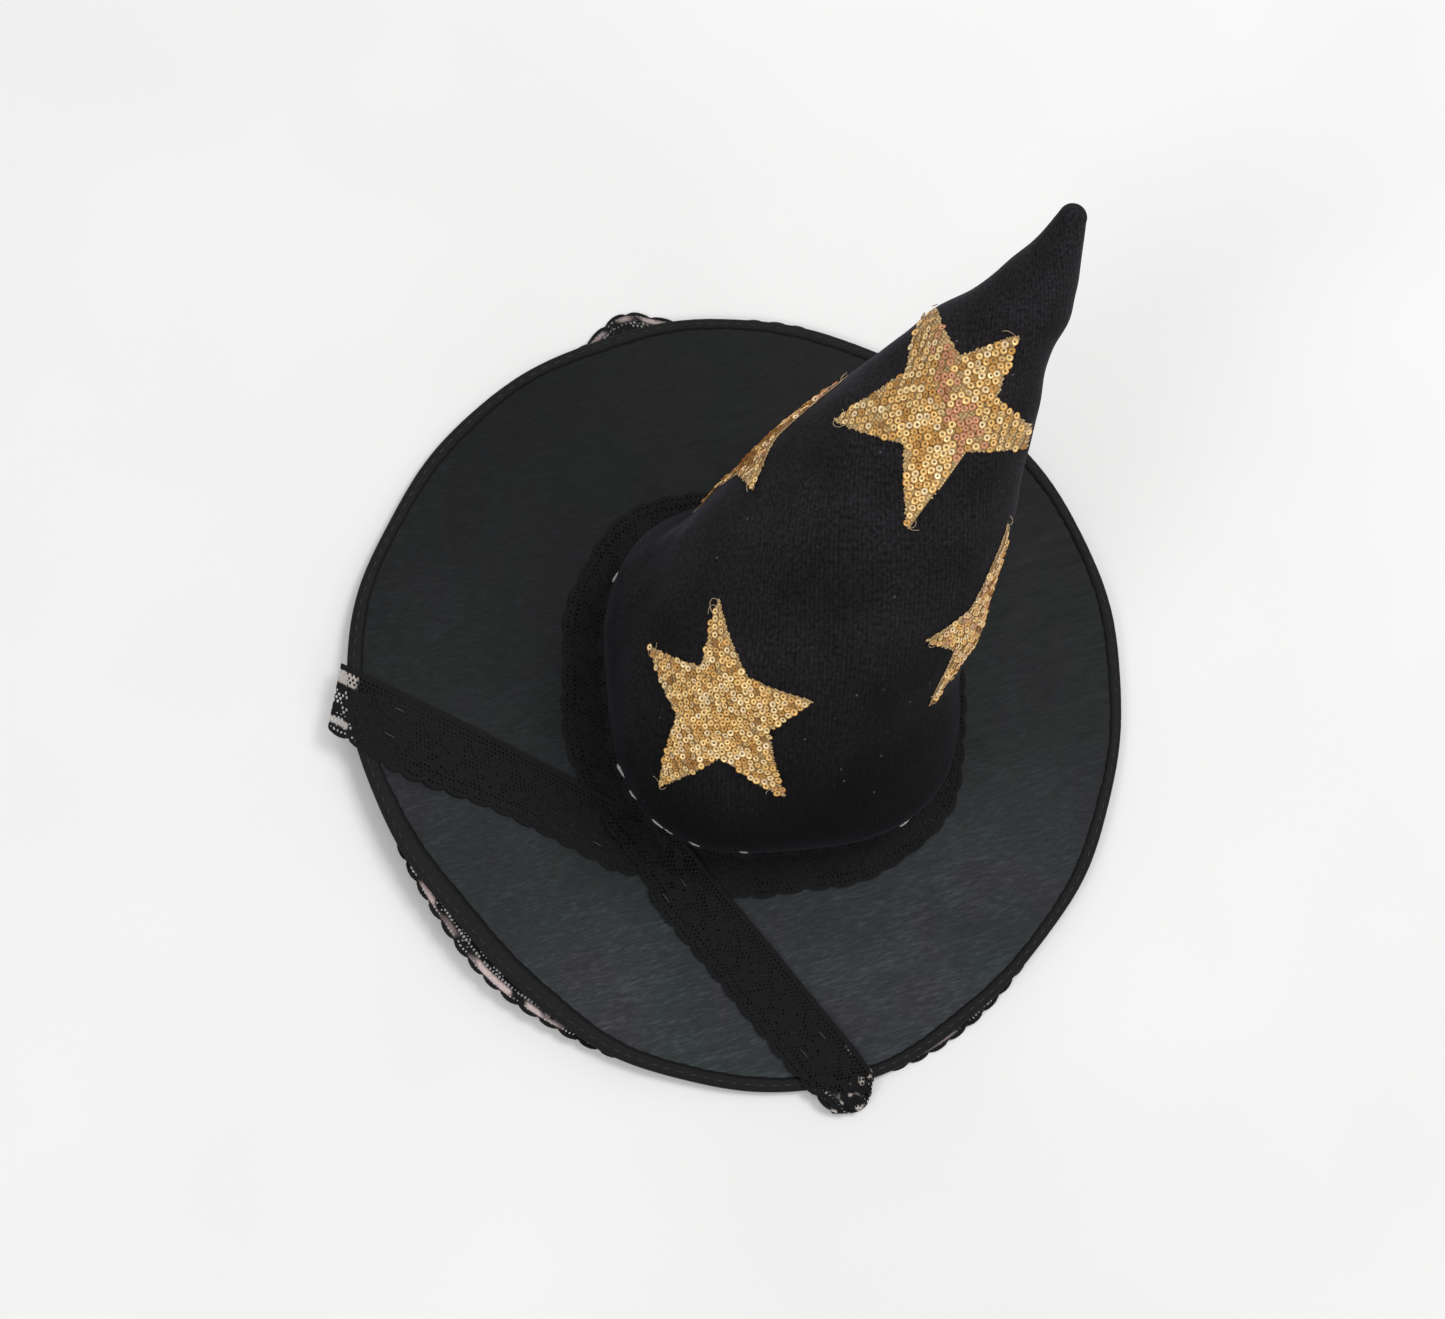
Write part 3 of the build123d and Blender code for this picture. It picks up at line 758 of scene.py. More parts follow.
def ribbon_place(u, v, raised):
    """Places on the whole ribbon, blending each tail into the wound part."""
    ring_from = LEFT_RUN + JOIN
    ring_to = ring_from + RING_RUN
    turn = RING_START + (u - ring_from) / RING_RADIUS
    turn = np.where(u < ring_from, RING_START + (u - ring_from) / JOIN_RADIUS, turn)
    turn = np.where(u > ring_to, RING_END + (u - ring_to) / JOIN_RADIUS, turn)
    ring = ring_section(turn, v)
    ring[..., 2] += np.where(u > ring_to - 10, 0.9, 0.0) * smooth_step(u, ring_to - 30, ring_to + 5)
    # the left tail is cut askew and spreads a little over the brim
    askew = u + (9.7 * v / LACE_WIDTH - 3.0) * (1 - smooth_step(u, 0, 60))
    spread = v * (1 + 0.2 * bump_at(u, 50, 38))
    left = tail_section(LEFT_END, LEFT_WAY, askew, spread, 0.55, 1.6 * np.sin(u / 46), 2.2)
    gather = smooth_step(u, RIBBON_LENGTH - 46, RIBBON_LENGTH - 18)
    squeezed = LACE_WIDTH / 2 + (v - LACE_WIDTH / 2) * (1 - 0.16 * gather)
    start = RIGHT_ROOT - np.array([math.cos(RIGHT_WAY), math.sin(RIGHT_WAY)]) * 30
    # its end is folded under in a rounded bunch
    run = u - ring_to
    fold = JOIN + RIGHT_RUN - 5 + 9.0 * np.sin(math.pi * v / LACE_WIDTH)
    past = np.clip(run - fold, 0, None)
    bend = 1.5
    turned = np.clip(past / bend, 0, math.pi)
    back = np.clip(past - bend * math.pi, 0, None)
    run = np.minimum(run, fold) + bend * np.sin(turned) - back
    right = tail_section(start, RIGHT_WAY, run, squeezed, 1.4, 1.8 * np.sin(u / 39), 3.2)
    right[..., 2] += gather * (0.9 * np.sin(v * 0.95) + 0.7) - bend * (1 - np.cos(turned)) * 0.9
    to_ring = smooth_step(u, LEFT_RUN, ring_from)[..., None]
    to_tail = smooth_step(u, ring_to, ring_to + JOIN)[..., None]
    points = left * (1 - to_ring) + ring * to_ring
    points = points * (1 - to_tail) + right * to_tail
    flat = 1 - smooth_step(u, LEFT_RUN, ring_from) * (1 - smooth_step(u, ring_to, ring_to + JOIN))
    points[..., 2] += raised * 0.3 * (0.4 + 0.6 * flat)
    return points


def edge_reach(angle):
    """How far the edge lace shows past the hem: it was sewn on by hand and wanders."""
    reach = -2.2 + 0.7 * np.sin(angle * 3 + 0.4) + 0.6 * np.sin(angle * 7 + 2.1)
    for swell, side, spread in EDGE_LACE_SWELLS:
        reach = reach + swell * angle_bump(angle, side, spread)
    return reach


EDGE_LENGTH = 1284.0


def edge_place(u, v, raised):
    """The edge lace under the brim. Its scalloped edge is the one past the hem."""
    angle = u / EDGE_LENGTH * TURN - math.pi / 2
    inset = LACE_WIDTH - v - edge_reach(angle)
    points = rim_points(angle, inset, 0.0)
    droop = smooth_step(-inset, 0, 12) * 0.75
    ripple = 0.35 * np.sin(angle * 61) * smooth_step(-inset, -2, 6)
    points[..., 2] = np.maximum(0.32 + (points[..., 2]) * (1 - 0.25 * droop) + ripple, 0.06)
    points[..., 2] += raised * 0.15
    return points


# ---- Stars --------------------------------------------------------------------------
# Each star: its middle, the way it faces, and its tips as reach in mm and angle, where 0
# is sideways round the crown and 90 points to the crown's tip. The back one is free.
STARS = {
    "star_front_low": (
        (-16.9, -52.8, 114.9), (-0.16, -0.75, 0.65),
        ((49, 129), (41, 40), (55, -35), (65, -95), (49, -166)), 11,
    ),
    "star_front_high": (
        (-5.9, 84.7, 224.4), (-0.11, -0.56, 0.82),
        ((50, 140), (44, 78), (48, 7), (57, -72), (53, -135)), 47,
    ),
    "star_left": (
        (-64.9, 64.1, 133.8), (-0.96, 0.24, 0.14),
        ((52, 96), (37, 1), (63, -94), (50, -150), (48, 152)), 80,
    ),
    "star_right": (
        (61.1, 40.2, 135.7), (0.96, -0.03, 0.29),
        ((53, 85), (50, 28), (47, -38), (47.5, -110), (35.5, 176)), 25,
    ),
    "star_back": (
        (2.0, 97.5, 76.0), (0.05, 0.87, -0.48),
        ((49, 90), (47, 20), (51, -54), (50, -126), (48, 162)), 61,
    ),
}
SEQUIN_PITCH = 3.35
SEQUIN_RINGS = ((1.78, 0.34), (1.12, 0.0), (0.58, 0.1))   # radius and height
SEQUIN_SIDES = 9
STAR_REACH = 72                # no star's tip is further out
NET_STEP = 0.8                 # between the net's points


def star_corners(tips, seed):
    """Outline of a hand-cut star: each inner corner lies between two tips."""
    rng = np.random.default_rng(seed)
    order = sorted((math.radians(angle) % TURN, reach) for reach, angle in tips)
    corners = []
    for index, (angle, reach) in enumerate(order):
        after, far = order[(index + 1) % len(order)]
        after = after if after > angle else after + TURN
        corners.append((reach * math.cos(angle), reach * math.sin(angle)))
        middle = (angle + after) / 2 + rng.uniform(-0.06, 0.06)
        notch = (reach + far) / 2 * rng.uniform(0.42, 0.47)
        corners.append((notch * math.cos(middle), notch * math.sin(middle)))
    return np.array(corners)


def inside_outline(points, corners):
    """Signed distance into an outline, above zero inside it."""
    inside = np.zeros(len(points), bool)
    nearest = np.full(len(points), np.inf)
    for start, end in zip(corners, np.roll(corners, -1, 0)):
        way = end - start
        share = np.clip(((points - start) @ way) / (way @ way), 0, 1)
        nearest = np.minimum(nearest, np.linalg.norm(points - start - share[:, None] * way, axis=1))
        crosses = (start[1] > points[:, 1]) != (end[1] > points[:, 1])
        at = start[0] + (points[:, 1] - start[1]) / (way[1] if way[1] else 1e-9) * way[0]
        inside ^= crosses & (points[:, 0] < at)
    return np.where(inside, nearest, -nearest)


def star_axes(middle, faces):
    """Axes of a star: sideways round the crown, up towards the tip, and out."""
    out = np.array(faces, float)
    out /= np.linalg.norm(out)
    aim = np.array([0.0, 0.55, 0.83])
    up = aim - out * (aim @ out)
    up /= np.linalg.norm(up)
    return np.array(middle, float), np.cross(up, out), up, out


def lay_on(tree, middle, side, up, out, flat):
    """Drops flat places straight onto the crown. Gives points, normals and which landed."""
    points, normals, landed = [], [], []
    way = Vector(-out)
    for x, y in flat:
        start = Vector((middle + side * x + up * y + out * 60) * MM)
        hit, normal, _, _ = tree.ray_cast(start, way, 0.17)
        landed.append(hit is not None)
        points.append(np.array(hit) / MM if hit else middle)
        normal = np.array(normal) if hit else out
        normals.append(normal if normal @ out > 0 else -normal)
    return np.array(points), np.array(normals), np.array(landed)


def sequin_shape():
    """One cupped sequin with a punched hole, in mm: 3 rings of 9 corners."""
    turn = np.linspace(0, TURN, SEQUIN_SIDES, endpoint=False)
    points = [(r * math.cos(t), r * math.sin(t), z) for r, z in SEQUIN_RINGS for t in turn]
    faces, _ = grid_faces(len(SEQUIN_RINGS), SEQUIN_SIDES, closed=True)
    return np.array(points), faces[:, ::-1]


SHAPE, SHAPE_FACES = sequin_shape()


# ---- Settings -----------------------------------------------------------------------
class HatLooks(bpy.types.PropertyGroup):
    sequin_tilt: FloatProperty(
        name="Sequin tilt", description="How unevenly the sequins lie",
        subtype="ANGLE", default=math.radians(11), min=0, max=math.radians(40),
    )


class HatSizes(bpy.types.PropertyGroup):
    crown_rings: IntProperty(
        name="Crown rings", description="Rows of points up the crown", default=250, min=60, max=300
    )
    crown_columns: IntProperty(
        name="Crown columns", description="Points round the crown", default=300, min=80, max=320
    )
    hem_width: FloatProperty(
        name="Hem width", description="Width of the hem's tape on the brim, in mm",
        default=6.6, min=3, max=10,
    )


def crown_sheet(name, rings, columns, inset):
    """One cloth of the crown as a closed sheet, with its flat cut as its UV map."""
    top = CROWN_LENGTH + TIP_DOME - 0.01 - inset * 0.5
    share = np.linspace(0, 1, rings)
    far = top * (1 - (1 - share) ** 1.25) if inset == 0 else top * share
    start = math.pi / 2
    angle = start + np.linspace(0, TURN, columns + 1)
    points = crown_points(far[:, None], angle[None, :-1], inset).reshape(-1, 3)
    faces, corners = grid_faces(rings, columns, closed=True)
    slant = CROWN_LENGTH + 22 - far[corners[..., 0]]
    spread = (angle[corners[..., 1]] - start - math.pi) * 0.27
    uv = np.stack([slant * np.sin(spread), slant * np.cos(spread)], -1)
    # the last ring is closed by a fan to its middle
    tip, base = len(points), (rings - 1) * columns
    fan = [(base + j, base + (j + 1) % columns, tip) for j in range(columns)]
    fan_uv = [(0.0, 20.0)] * (3 * columns)
    points = np.vstack([points, points[-columns:].mean(0)])
    return mesh_piece(name, points, faces.tolist() + fan, uv.reshape(-1, 2).tolist() + fan_uv)


# ---- Operators ----------------------------------------------------------------------
class PARTYHAT_OT_stage(bpy.types.Operator):
    """Adds the pale floor, the soft studio light and the camera"""

    bl_idname = "partyhat.stage"
    bl_label = "Stage"

    def execute(self, context):
        scene = context.scene
        floor = mesh_piece(
            "studio_floor",
            [(x * FLOOR_HALF, y * FLOOR_HALF, 0) for x, y in ((-1, -1), (1, -1), (1, 1), (-1, 1))],
            [(0, 1, 2, 3)],
        )
        material, tree, shader = start_material("studio_floor_matt_paint", Roughness=0.85)
        place = add_node(tree, "TexCoord", out="Object")
        fine = add_node(tree, "TexNoise", {0: place, "Scale": 6.0})
        colour = add_node(tree, "ValToRGB", {0: fine}, stops=((0.3, "#f2f2f2"), (0.7, "#f5f5f5")))
        tree.links.new(colour, shader.inputs["Base Color"])
        floor.data.materials.append(material)

        world = bpy.data.worlds.new("studio_world")
        world.use_nodes = True
        world.node_tree.nodes["Background"].inputs[0].default_value = (1.0, 0.995, 0.985, 1)
        world.node_tree.nodes["Background"].inputs[1].default_value = 0.5
        scene.world = world
        for name, place, size, power in SOFTBOXES:
            light = bpy.data.lights.new(name, "AREA")
            light.size = size
            light.energy = power
            lamp = bpy.data.objects.new(name, light)
            lamp.location = place
            aim = Vector((0, 0, 0.06)) - Vector(place)
            lamp.rotation_euler = aim.to_track_quat("-Z", "Y").to_euler()
            scene.collection.objects.link(lamp)

        back = Vector((0, -math.sin(CAMERA_TILT), math.cos(CAMERA_TILT)))
        up = Vector((0, math.cos(CAMERA_TILT), math.sin(CAMERA_TILT)))
        right = Vector((1, 0, 0))
        across = right * CAMERA_ROLL[0] + up * CAMERA_ROLL[1]
        upward = up * CAMERA_ROLL[0] - right * CAMERA_ROLL[1]
        camera = bpy.data.objects.new("camera", bpy.data.cameras.new("camera"))
        turn = Matrix((across.normalized(), upward.normalized(), back)).transposed()
        camera.matrix_world = Matrix.Translation(CAMERA_PLACE) @ turn.to_4x4()
        camera.data.sensor_width = 36
        camera.data.sensor_fit = "HORIZONTAL"
        camera.data.lens = CAMERA_LENS
        scene.collection.objects.link(camera)
        scene.camera = camera
        scene.view_settings.view_transform = "Standard"
        return {"FINISHED"}


class PARTYHAT_OT_crown(bpy.types.Operator):
    """Builds the crown's velvet, interlining and lining"""

    bl_idname = "partyhat.crown"
    bl_label = "Crown cloths"

    def execute(self, context):
        sizes = context.scene.party_hat_sizes
        felt = fine_weave("needled_polyester_felt", "#1b1b1d", "#38383b", 1.3, 0.95, 0.3)
        taffeta = fine_weave("acetate_taffeta_woven", "#121214", "#2c2c31", 0.8, 0.42, 0.08, 0.1)
        for name, rings, columns, inset, material, slot, node, under in (
            ("crown_velvet", sizes.crown_rings, sizes.crown_columns, 0.0, ribbed_velvet(),
             "velvet", "crown_shell", "crown_interlining_cloth"),
            ("crown_interlining_cloth", 110, 150, 1.5, felt,
             "interlining", "crown_interlining", "crown_lining_cloth"),
            ("crown_lining_cloth", 130, 170, 2.7, taffeta,
             "lining", "crown_lining", "crown_interlining_cloth"),
        ):
            cloth = crown_sheet(name, rings, columns, inset)
            finish_piece(cloth, material, [node])
        return {"FINISHED"}


class PARTYHAT_OT_brim(bpy.types.Operator):
    """Builds the brim's two satins, its stiffener, hem, wire and sleeve"""

    bl_idname = "partyhat.brim"
    bl_label = "Brim"

    def execute(self, context):
        sizes = context.scene.party_hat_sizes
        angle = np.linspace(0, TURN, 420, endpoint=False)

        def cloth(name, height, rows, edge, flip, rough):
            share = np.linspace(0, 1, rows)
            grid = brim_points(share[:, None], angle[None, :], height, edge)
            flat = grid[..., :2]
            grid[..., 2] += brim_creases(grid) * rough * smooth_step(share, 0.05, 0.3)[:, None] * (
                1 - smooth_step(share, 0.86, 1.0)[:, None]
            )
            faces, _ = grid_faces(rows, len(angle), closed=True)
            if flip:
                faces = faces[:, ::-1]
            uv = flat.reshape(-1, 2)[faces].reshape(-1, 2)
            return mesh_piece(name, grid.reshape(-1, 3), faces, uv)

        top_satin = woven_satin(
            "polyester_satin_pressed", "#26282a", "#303336", "#474b50", "#9fb0b4", 49, 0.46
        )
        under_satin = woven_satin(
            "polyester_satin_underside", "#1e1f21", "#282a2c", "#3b3e42", "#9fb0b4", 30, 0.5
        )
        felt = fine_weave("stiffened_felt_pressed", "#19191b", "#333336", 1.2, 0.95, 0.3)
        core_height = (STIFFENER_LOW + STIFFENER_HIGH) / 2
        core_thickness = (STIFFENER_HIGH - STIFFENER_LOW) * 0.85
        for name, height, rows, edge, flip, rough, material, slot, node, thick, under in (
            ("brim_top_satin", TOP_HEIGHT, 46, 2.2, True, 0.14, top_satin,
             "top_satin", "brim_top_fabric", 0, "brim_stiffener_felt"),
            ("brim_stiffener_felt", core_height, 30, 3.4, True, 0, felt,
             "stiffener", "brim_stiffener", core_thickness, "brim_under_satin"),
            ("brim_under_satin", UNDER_HEIGHT + 0.2, 46, 2.2, False, 0.14, under_satin,
             "under_satin", "brim_under_fabric", 0, "brim_stiffener_felt"),
        ):
            sheet = cloth(name, height, rows, edge, flip, rough)
            finish_piece(sheet, material, [node])
            if thick:
                thicken(sheet, thick, 0)

        # The hem's tape is folded round the rim, wider where it was gathered at the front left.
        around = np.linspace(0, TURN, 900, endpoint=False)
        width = sizes.hem_width + 4.4 * angle_bump(around, 250, 34) + 0.4 * np.sin(around * 11)
        pucker = 0.12 * np.sin(around * HEM_STITCHES) + 0.1 * np.sin(around * 63 + 1)
        middle = (HEM_HIGH + HEM_LOW) / 2
        half = (HEM_HIGH - HEM_LOW) / 2 + 0.12
        rows = []
        for inset, high in (
            (1.0, 0.80), (0.62, 1.0), (0.36, 1.0), (0.16, 0.9), (0.05, 0.6), (0.0, 0.15),
            (0.02, -0.4), (0.1, -0.8), (0.3, -1.0), (0.62, -1.0), (1.0, -0.8),
            (1.0, -0.6), (0.62, -0.8), (0.3, -0.78), (0.17, -0.5), (0.12, 0.1),
            (0.2, 0.62), (0.4, 0.8), (0.62, 0.82), (1.0, 0.62),
        ):
            edge_pucker = pucker * (inset > 0.5)
            ring = rim_points(around, inset * width + edge_pucker, middle + half * high)
            ring[:, 2] += pucker * 0.5 * (high > 0)
            rows.append(ring)
        points = np.array(rows)
        count = len(rows)
        faces, corners = grid_faces(count, len(around), closed=True)
        faces = np.concatenate([faces, closing_faces(count, len(around))])
        j = np.arange(len(around))
        last = np.full_like(j, count - 1)
        corner_u = np.concatenate([corners[..., 1], np.stack([j, j + 1, j + 1, j], -1)])
        corner_v = np.concatenate(
            [corners[..., 0], np.stack([last, last, last + 1, last + 1], -1)]
        )
        uv = np.stack([corner_u * 1.4, corner_v * 0.8], -1).reshape(-1, 2)
        hem = mesh_piece("brim_hem_tape", points.reshape(-1, 3), faces[:, ::-1],
                         uv.reshape(-1, 4, 2)[:, ::-1].reshape(-1, 2))
        tape = fine_weave("satin_bias_tape_folded", "#060607", "#131315", 0.9, 0.7, 0.12, 0.02)
        finish_piece(hem, tape, ["brim_hem"])
        wire_line = rim_points(np.linspace(0, TURN, 360, endpoint=False), WIRE_INSET, WIRE_HEIGHT)
        wire = mesh_piece("brim_rim_wire", *tube(wire_line, WIRE_RADIUS, 10))
        steel = drawn_metal("steel_wire_drawn", "#8b8c8e", "#b9babb", 0.32)
        finish_piece(wire, steel, ["brim_wire"])
        along = np.linspace(-6, 6, 25)
        turns = math.pi / 2 + along / (CLOTH_EDGE + 2)
        crimp = 1.02 - 0.16 * bump_at(along, -3, 0.9)
        crimp = crimp - 0.16 * bump_at(along, 3, 0.9)
        sleeve_line = rim_points(turns, WIRE_INSET, WIRE_HEIGHT)
        sleeve = mesh_piece("wire_crimp_sleeve", *tube(sleeve_line, crimp, 16, False))
        aluminium = drawn_metal("aluminium_tube_crimped", "#a9a9aa", "#cfcfd0", 0.28)
        finish_piece(sleeve, aluminium, ["wire_ferrule"])
        thicken(sleeve, 0.3, -1)

        turn = np.linspace(0, TURN, HEM_STITCHES, endpoint=False)
        middles = rim_points(turn, 3.3, HEM_HIGH + 0.12)
        ways = np.stack([-np.sin(turn), np.cos(turn), 0 * turn], -1)
        ups = np.tile((0.0, 0.0, 1.0), (len(turn), 1))
        sewn = stitches("hem_thread", middles, ways, ups, 3.9, 0.42, 0.16)
        finish_piece(sewn, twisted_thread("spun_polyester_thread", "#0b0b0c", "#1d1d20"),
                     ["hem_stitches"])
        return {"FINISHED"}


class PARTYHAT_OT_lace(bpy.types.Operator):
    """Builds the wound lace ribbon, the edge lace, its tacks and the glue"""

    bl_idname = "partyhat.lace"
    bl_label = "Lace"

    def execute(self, context):
        net = unevenness(71, 9, 24)
        bits = unevenness(72, 3.5, 9)

        def ribbon_pale(u, v):
            # painted glints on scattered bits of net near the right tail's folded end, and at the
            # left end the pale floor that shows through the net painted onto its threads
            near_end = smooth_step(u, RIBBON_LENGTH - 33, RIBBON_LENGTH - 25)
            loose = smooth_step(bits(np.stack([u, v, 0 * u], -1)), 0.5, 0.75)
            end_net = (1 - smooth_step(u, 9, 11)) * (
                smooth_step(v, 2.9, 3.3) * (1 - smooth_step(v, 8.6, 9.2))
                + smooth_step(v, 25.0, 25.4) * (1 - smooth_step(v, 27.8, 28.2))
            )
            return near_end * loose * 0.8 + end_net * 0.6

        ribbon = lace_piece(
            "wound_lace_ribbon", ribbon_place, RIBBON_LENGTH, 0.58, 0.55, ribbon_pale
        )
        ribbon_lace = knitted_lace("nylon_lace_ribbon_knitted", "#d8cfc8")
        finish_piece(ribbon, ribbon_lace, ["lace_ribbon"])

        def edge_pale(u, v):
            angle = u / EDGE_LENGTH * TURN - math.pi / 2
            # painted highlight on the outer cord where the light catches it, strongest at the front
            # left
            outer = smooth_step(v, 27.5, 28.3) * (1 - smooth_step(v, 30.2, 30.9))
            where = 1.4 * angle_bump(angle, 260, 26) + angle_bump(angle, 120, 26)
            where = where + 0.5 * angle_bump(angle, 330, 15)
            loose = smooth_step(net(np.stack([u, v, 0 * u], -1)), -0.5, 0.4)
            return np.clip(outer * where * loose, 0, 1) * 0.85

        edge = lace_piece(
            "brim_edge_lace_trim", edge_place, EDGE_LENGTH - 0.01, 0.7, 0.62, edge_pale, start=5.0
        )
        edge_lace = knitted_lace("nylon_edge_lace_knitted", "#d9c3c2")
        finish_piece(edge, edge_lace, ["brim_edge_lace"])

        # Tacks at the crossing and where each tail leaves the brim.
        middles, ways = [], []
        for u, v in (
            (34, 8), (34, 20), (152, 10), (152, 24),
            (RIBBON_LENGTH - 58, 9), (RIBBON_LENGTH - 58, 22),
            (RIBBON_LENGTH - 160, 14), (RIBBON_LENGTH - 160, 26),
        ):
            here = ribbon_place(np.array([u * 1.0]), np.array([v * 1.0]), np.array([0.5]))[0]
            there = ribbon_place(np.array([u + 2.0]), np.array([v * 1.0]), np.array([0.5]))[0]
            middles.append(here + np.array([0, 0, 0.25]))
            ways.append((there - here) / np.linalg.norm(there - here))
        thread = twisted_thread("tacking_thread_spun", "#141416", "#3a3a3f")
        tacks = stitches("lace_tack_threads", middles, ways, [(0, 0, 1.0)] * len(middles), 5.0, 0.6)
        finish_piece(tacks, thread, ["lace_tacks"])

        turn = np.linspace(0, TURN, SEAM_STITCHES, endpoint=False)
        reach = foot_radius(turn) + 0.35
        height = 0 * turn + TOP_HEIGHT + 0.6
        middles = np.stack([reach * np.cos(turn), reach * np.sin(turn), height], -1)
        middles[:, 2] += brim_lift(middles[:, 0], middles[:, 1])
        slant = np.stack([-np.sin(turn) * 0.8, np.cos(turn) * 0.8, 0 * turn + 0.6], -1)
        ups = np.stack([np.cos(turn), np.sin(turn), 0 * turn], -1)
        seam = stitches("crown_seam_threads", middles, slant, ups, 2.6, 0.5, 0.1)
        finish_piece(seam, thread, ["crown_seam_stitches"])

        # Glue squeezed out of the crease over the ribbon's upper edge.
        rng = np.random.default_rng(5)
        beads = []
        rings, sides = 7, 12
        faces, _ = grid_faces(rings, sides, closed=True)
        for angle_deg, size in (
            (60, 1.3), (166, 1.4), (180, 1.2), (243, 1.5), (251, 1.1), (262, 1.3), (266, 0.9),
            (274, 1.2), (289, 1.0), (342, 1.3),
        ):
            turn = math.radians(angle_deg)
            place = ring_section(np.array([turn]), np.array([0.0]))[0] + np.array([0, 0, 0.5])
            place[:2] += 1.0 * np.array([math.cos(turn), math.sin(turn)])
            out = np.array([math.cos(turn), math.sin(turn), 0.5])
            out /= np.linalg.norm(out)
            side = np.array([-math.sin(turn), math.cos(turn), 0])
            up = np.cross(out, side)
            rise = np.linspace(-math.pi / 2, math.pi / 2, rings)
            round_it = np.linspace(0, TURN, sides, endpoint=False)
            a, b = np.meshgrid(rise, round_it, indexing="ij")
            lumps = 1 + 0.12 * np.sin(3 * b + rng.uniform(0, TURN)) * np.cos(a)
            shape = (
                side * (np.cos(a) * np.cos(b) * 2.9)[..., None]
                + up * (np.cos(a) * np.sin(b) * 0.62)[..., None]
                + out * (np.sin(a) * 0.7)[..., None]
            )
            beads.append(((place + shape * (lumps * size)[..., None]).reshape(-1, 3), faces))
        glue = mesh_piece("glue_beads", *joined(beads))
        select_only(glue)
        bpy.ops.object.mode_set(mode="EDIT")
        bpy.ops.mesh.select_all(action="SELECT")
        bpy.ops.mesh.remove_doubles(threshold=1e-6)
        bpy.ops.mesh.normals_make_consistent(inside=False)
        bpy.ops.object.mode_set(mode="OBJECT")
        finish_piece(glue, hot_glue(), ["glue_dabs"])
        return {"FINISHED"}


class PARTYHAT_OT_band(bpy.types.Operator):
    """Builds the grosgrain sweatband inside the head opening"""

    bl_idname = "partyhat.band"
    bl_label = "Sweatband"

    def execute(self, context):
        angle = np.linspace(0, TURN, 361)[:-1] + math.pi / 2
        high = np.concatenate([[0.25], np.linspace(0.5, BAND_HEIGHT - 0.3, 22), [BAND_HEIGHT]])
        rows = []
        for z in high:
            reach = foot_radius(angle) - (CROWN_RADIUS - BAND_OUTER) - 0.35
            reach = reach + 0.3 * np.sin(angle * 7 + z / 9) * smooth_step(z, 10, 30)
            rows.append(np.stack([reach * np.cos(angle), reach * np.sin(angle), 0 * angle + z], -1))
        grid = np.array(rows)
        faces, corners = grid_faces(len(high), len(angle), closed=True)
        uv = np.stack([corners[..., 1] * TURN * BAND_OUTER / 360, high[corners[..., 0]]], -1)
        band = mesh_piece(
            "sweatband_grosgrain", grid.reshape(-1, 3), faces[:, ::-1], uv[:, ::-1].reshape(-1, 2)
        )
        finish_piece(band, grosgrain(), ["sweatband"])
        thicken(band, 0.9, 0)
        return {"FINISHED"}


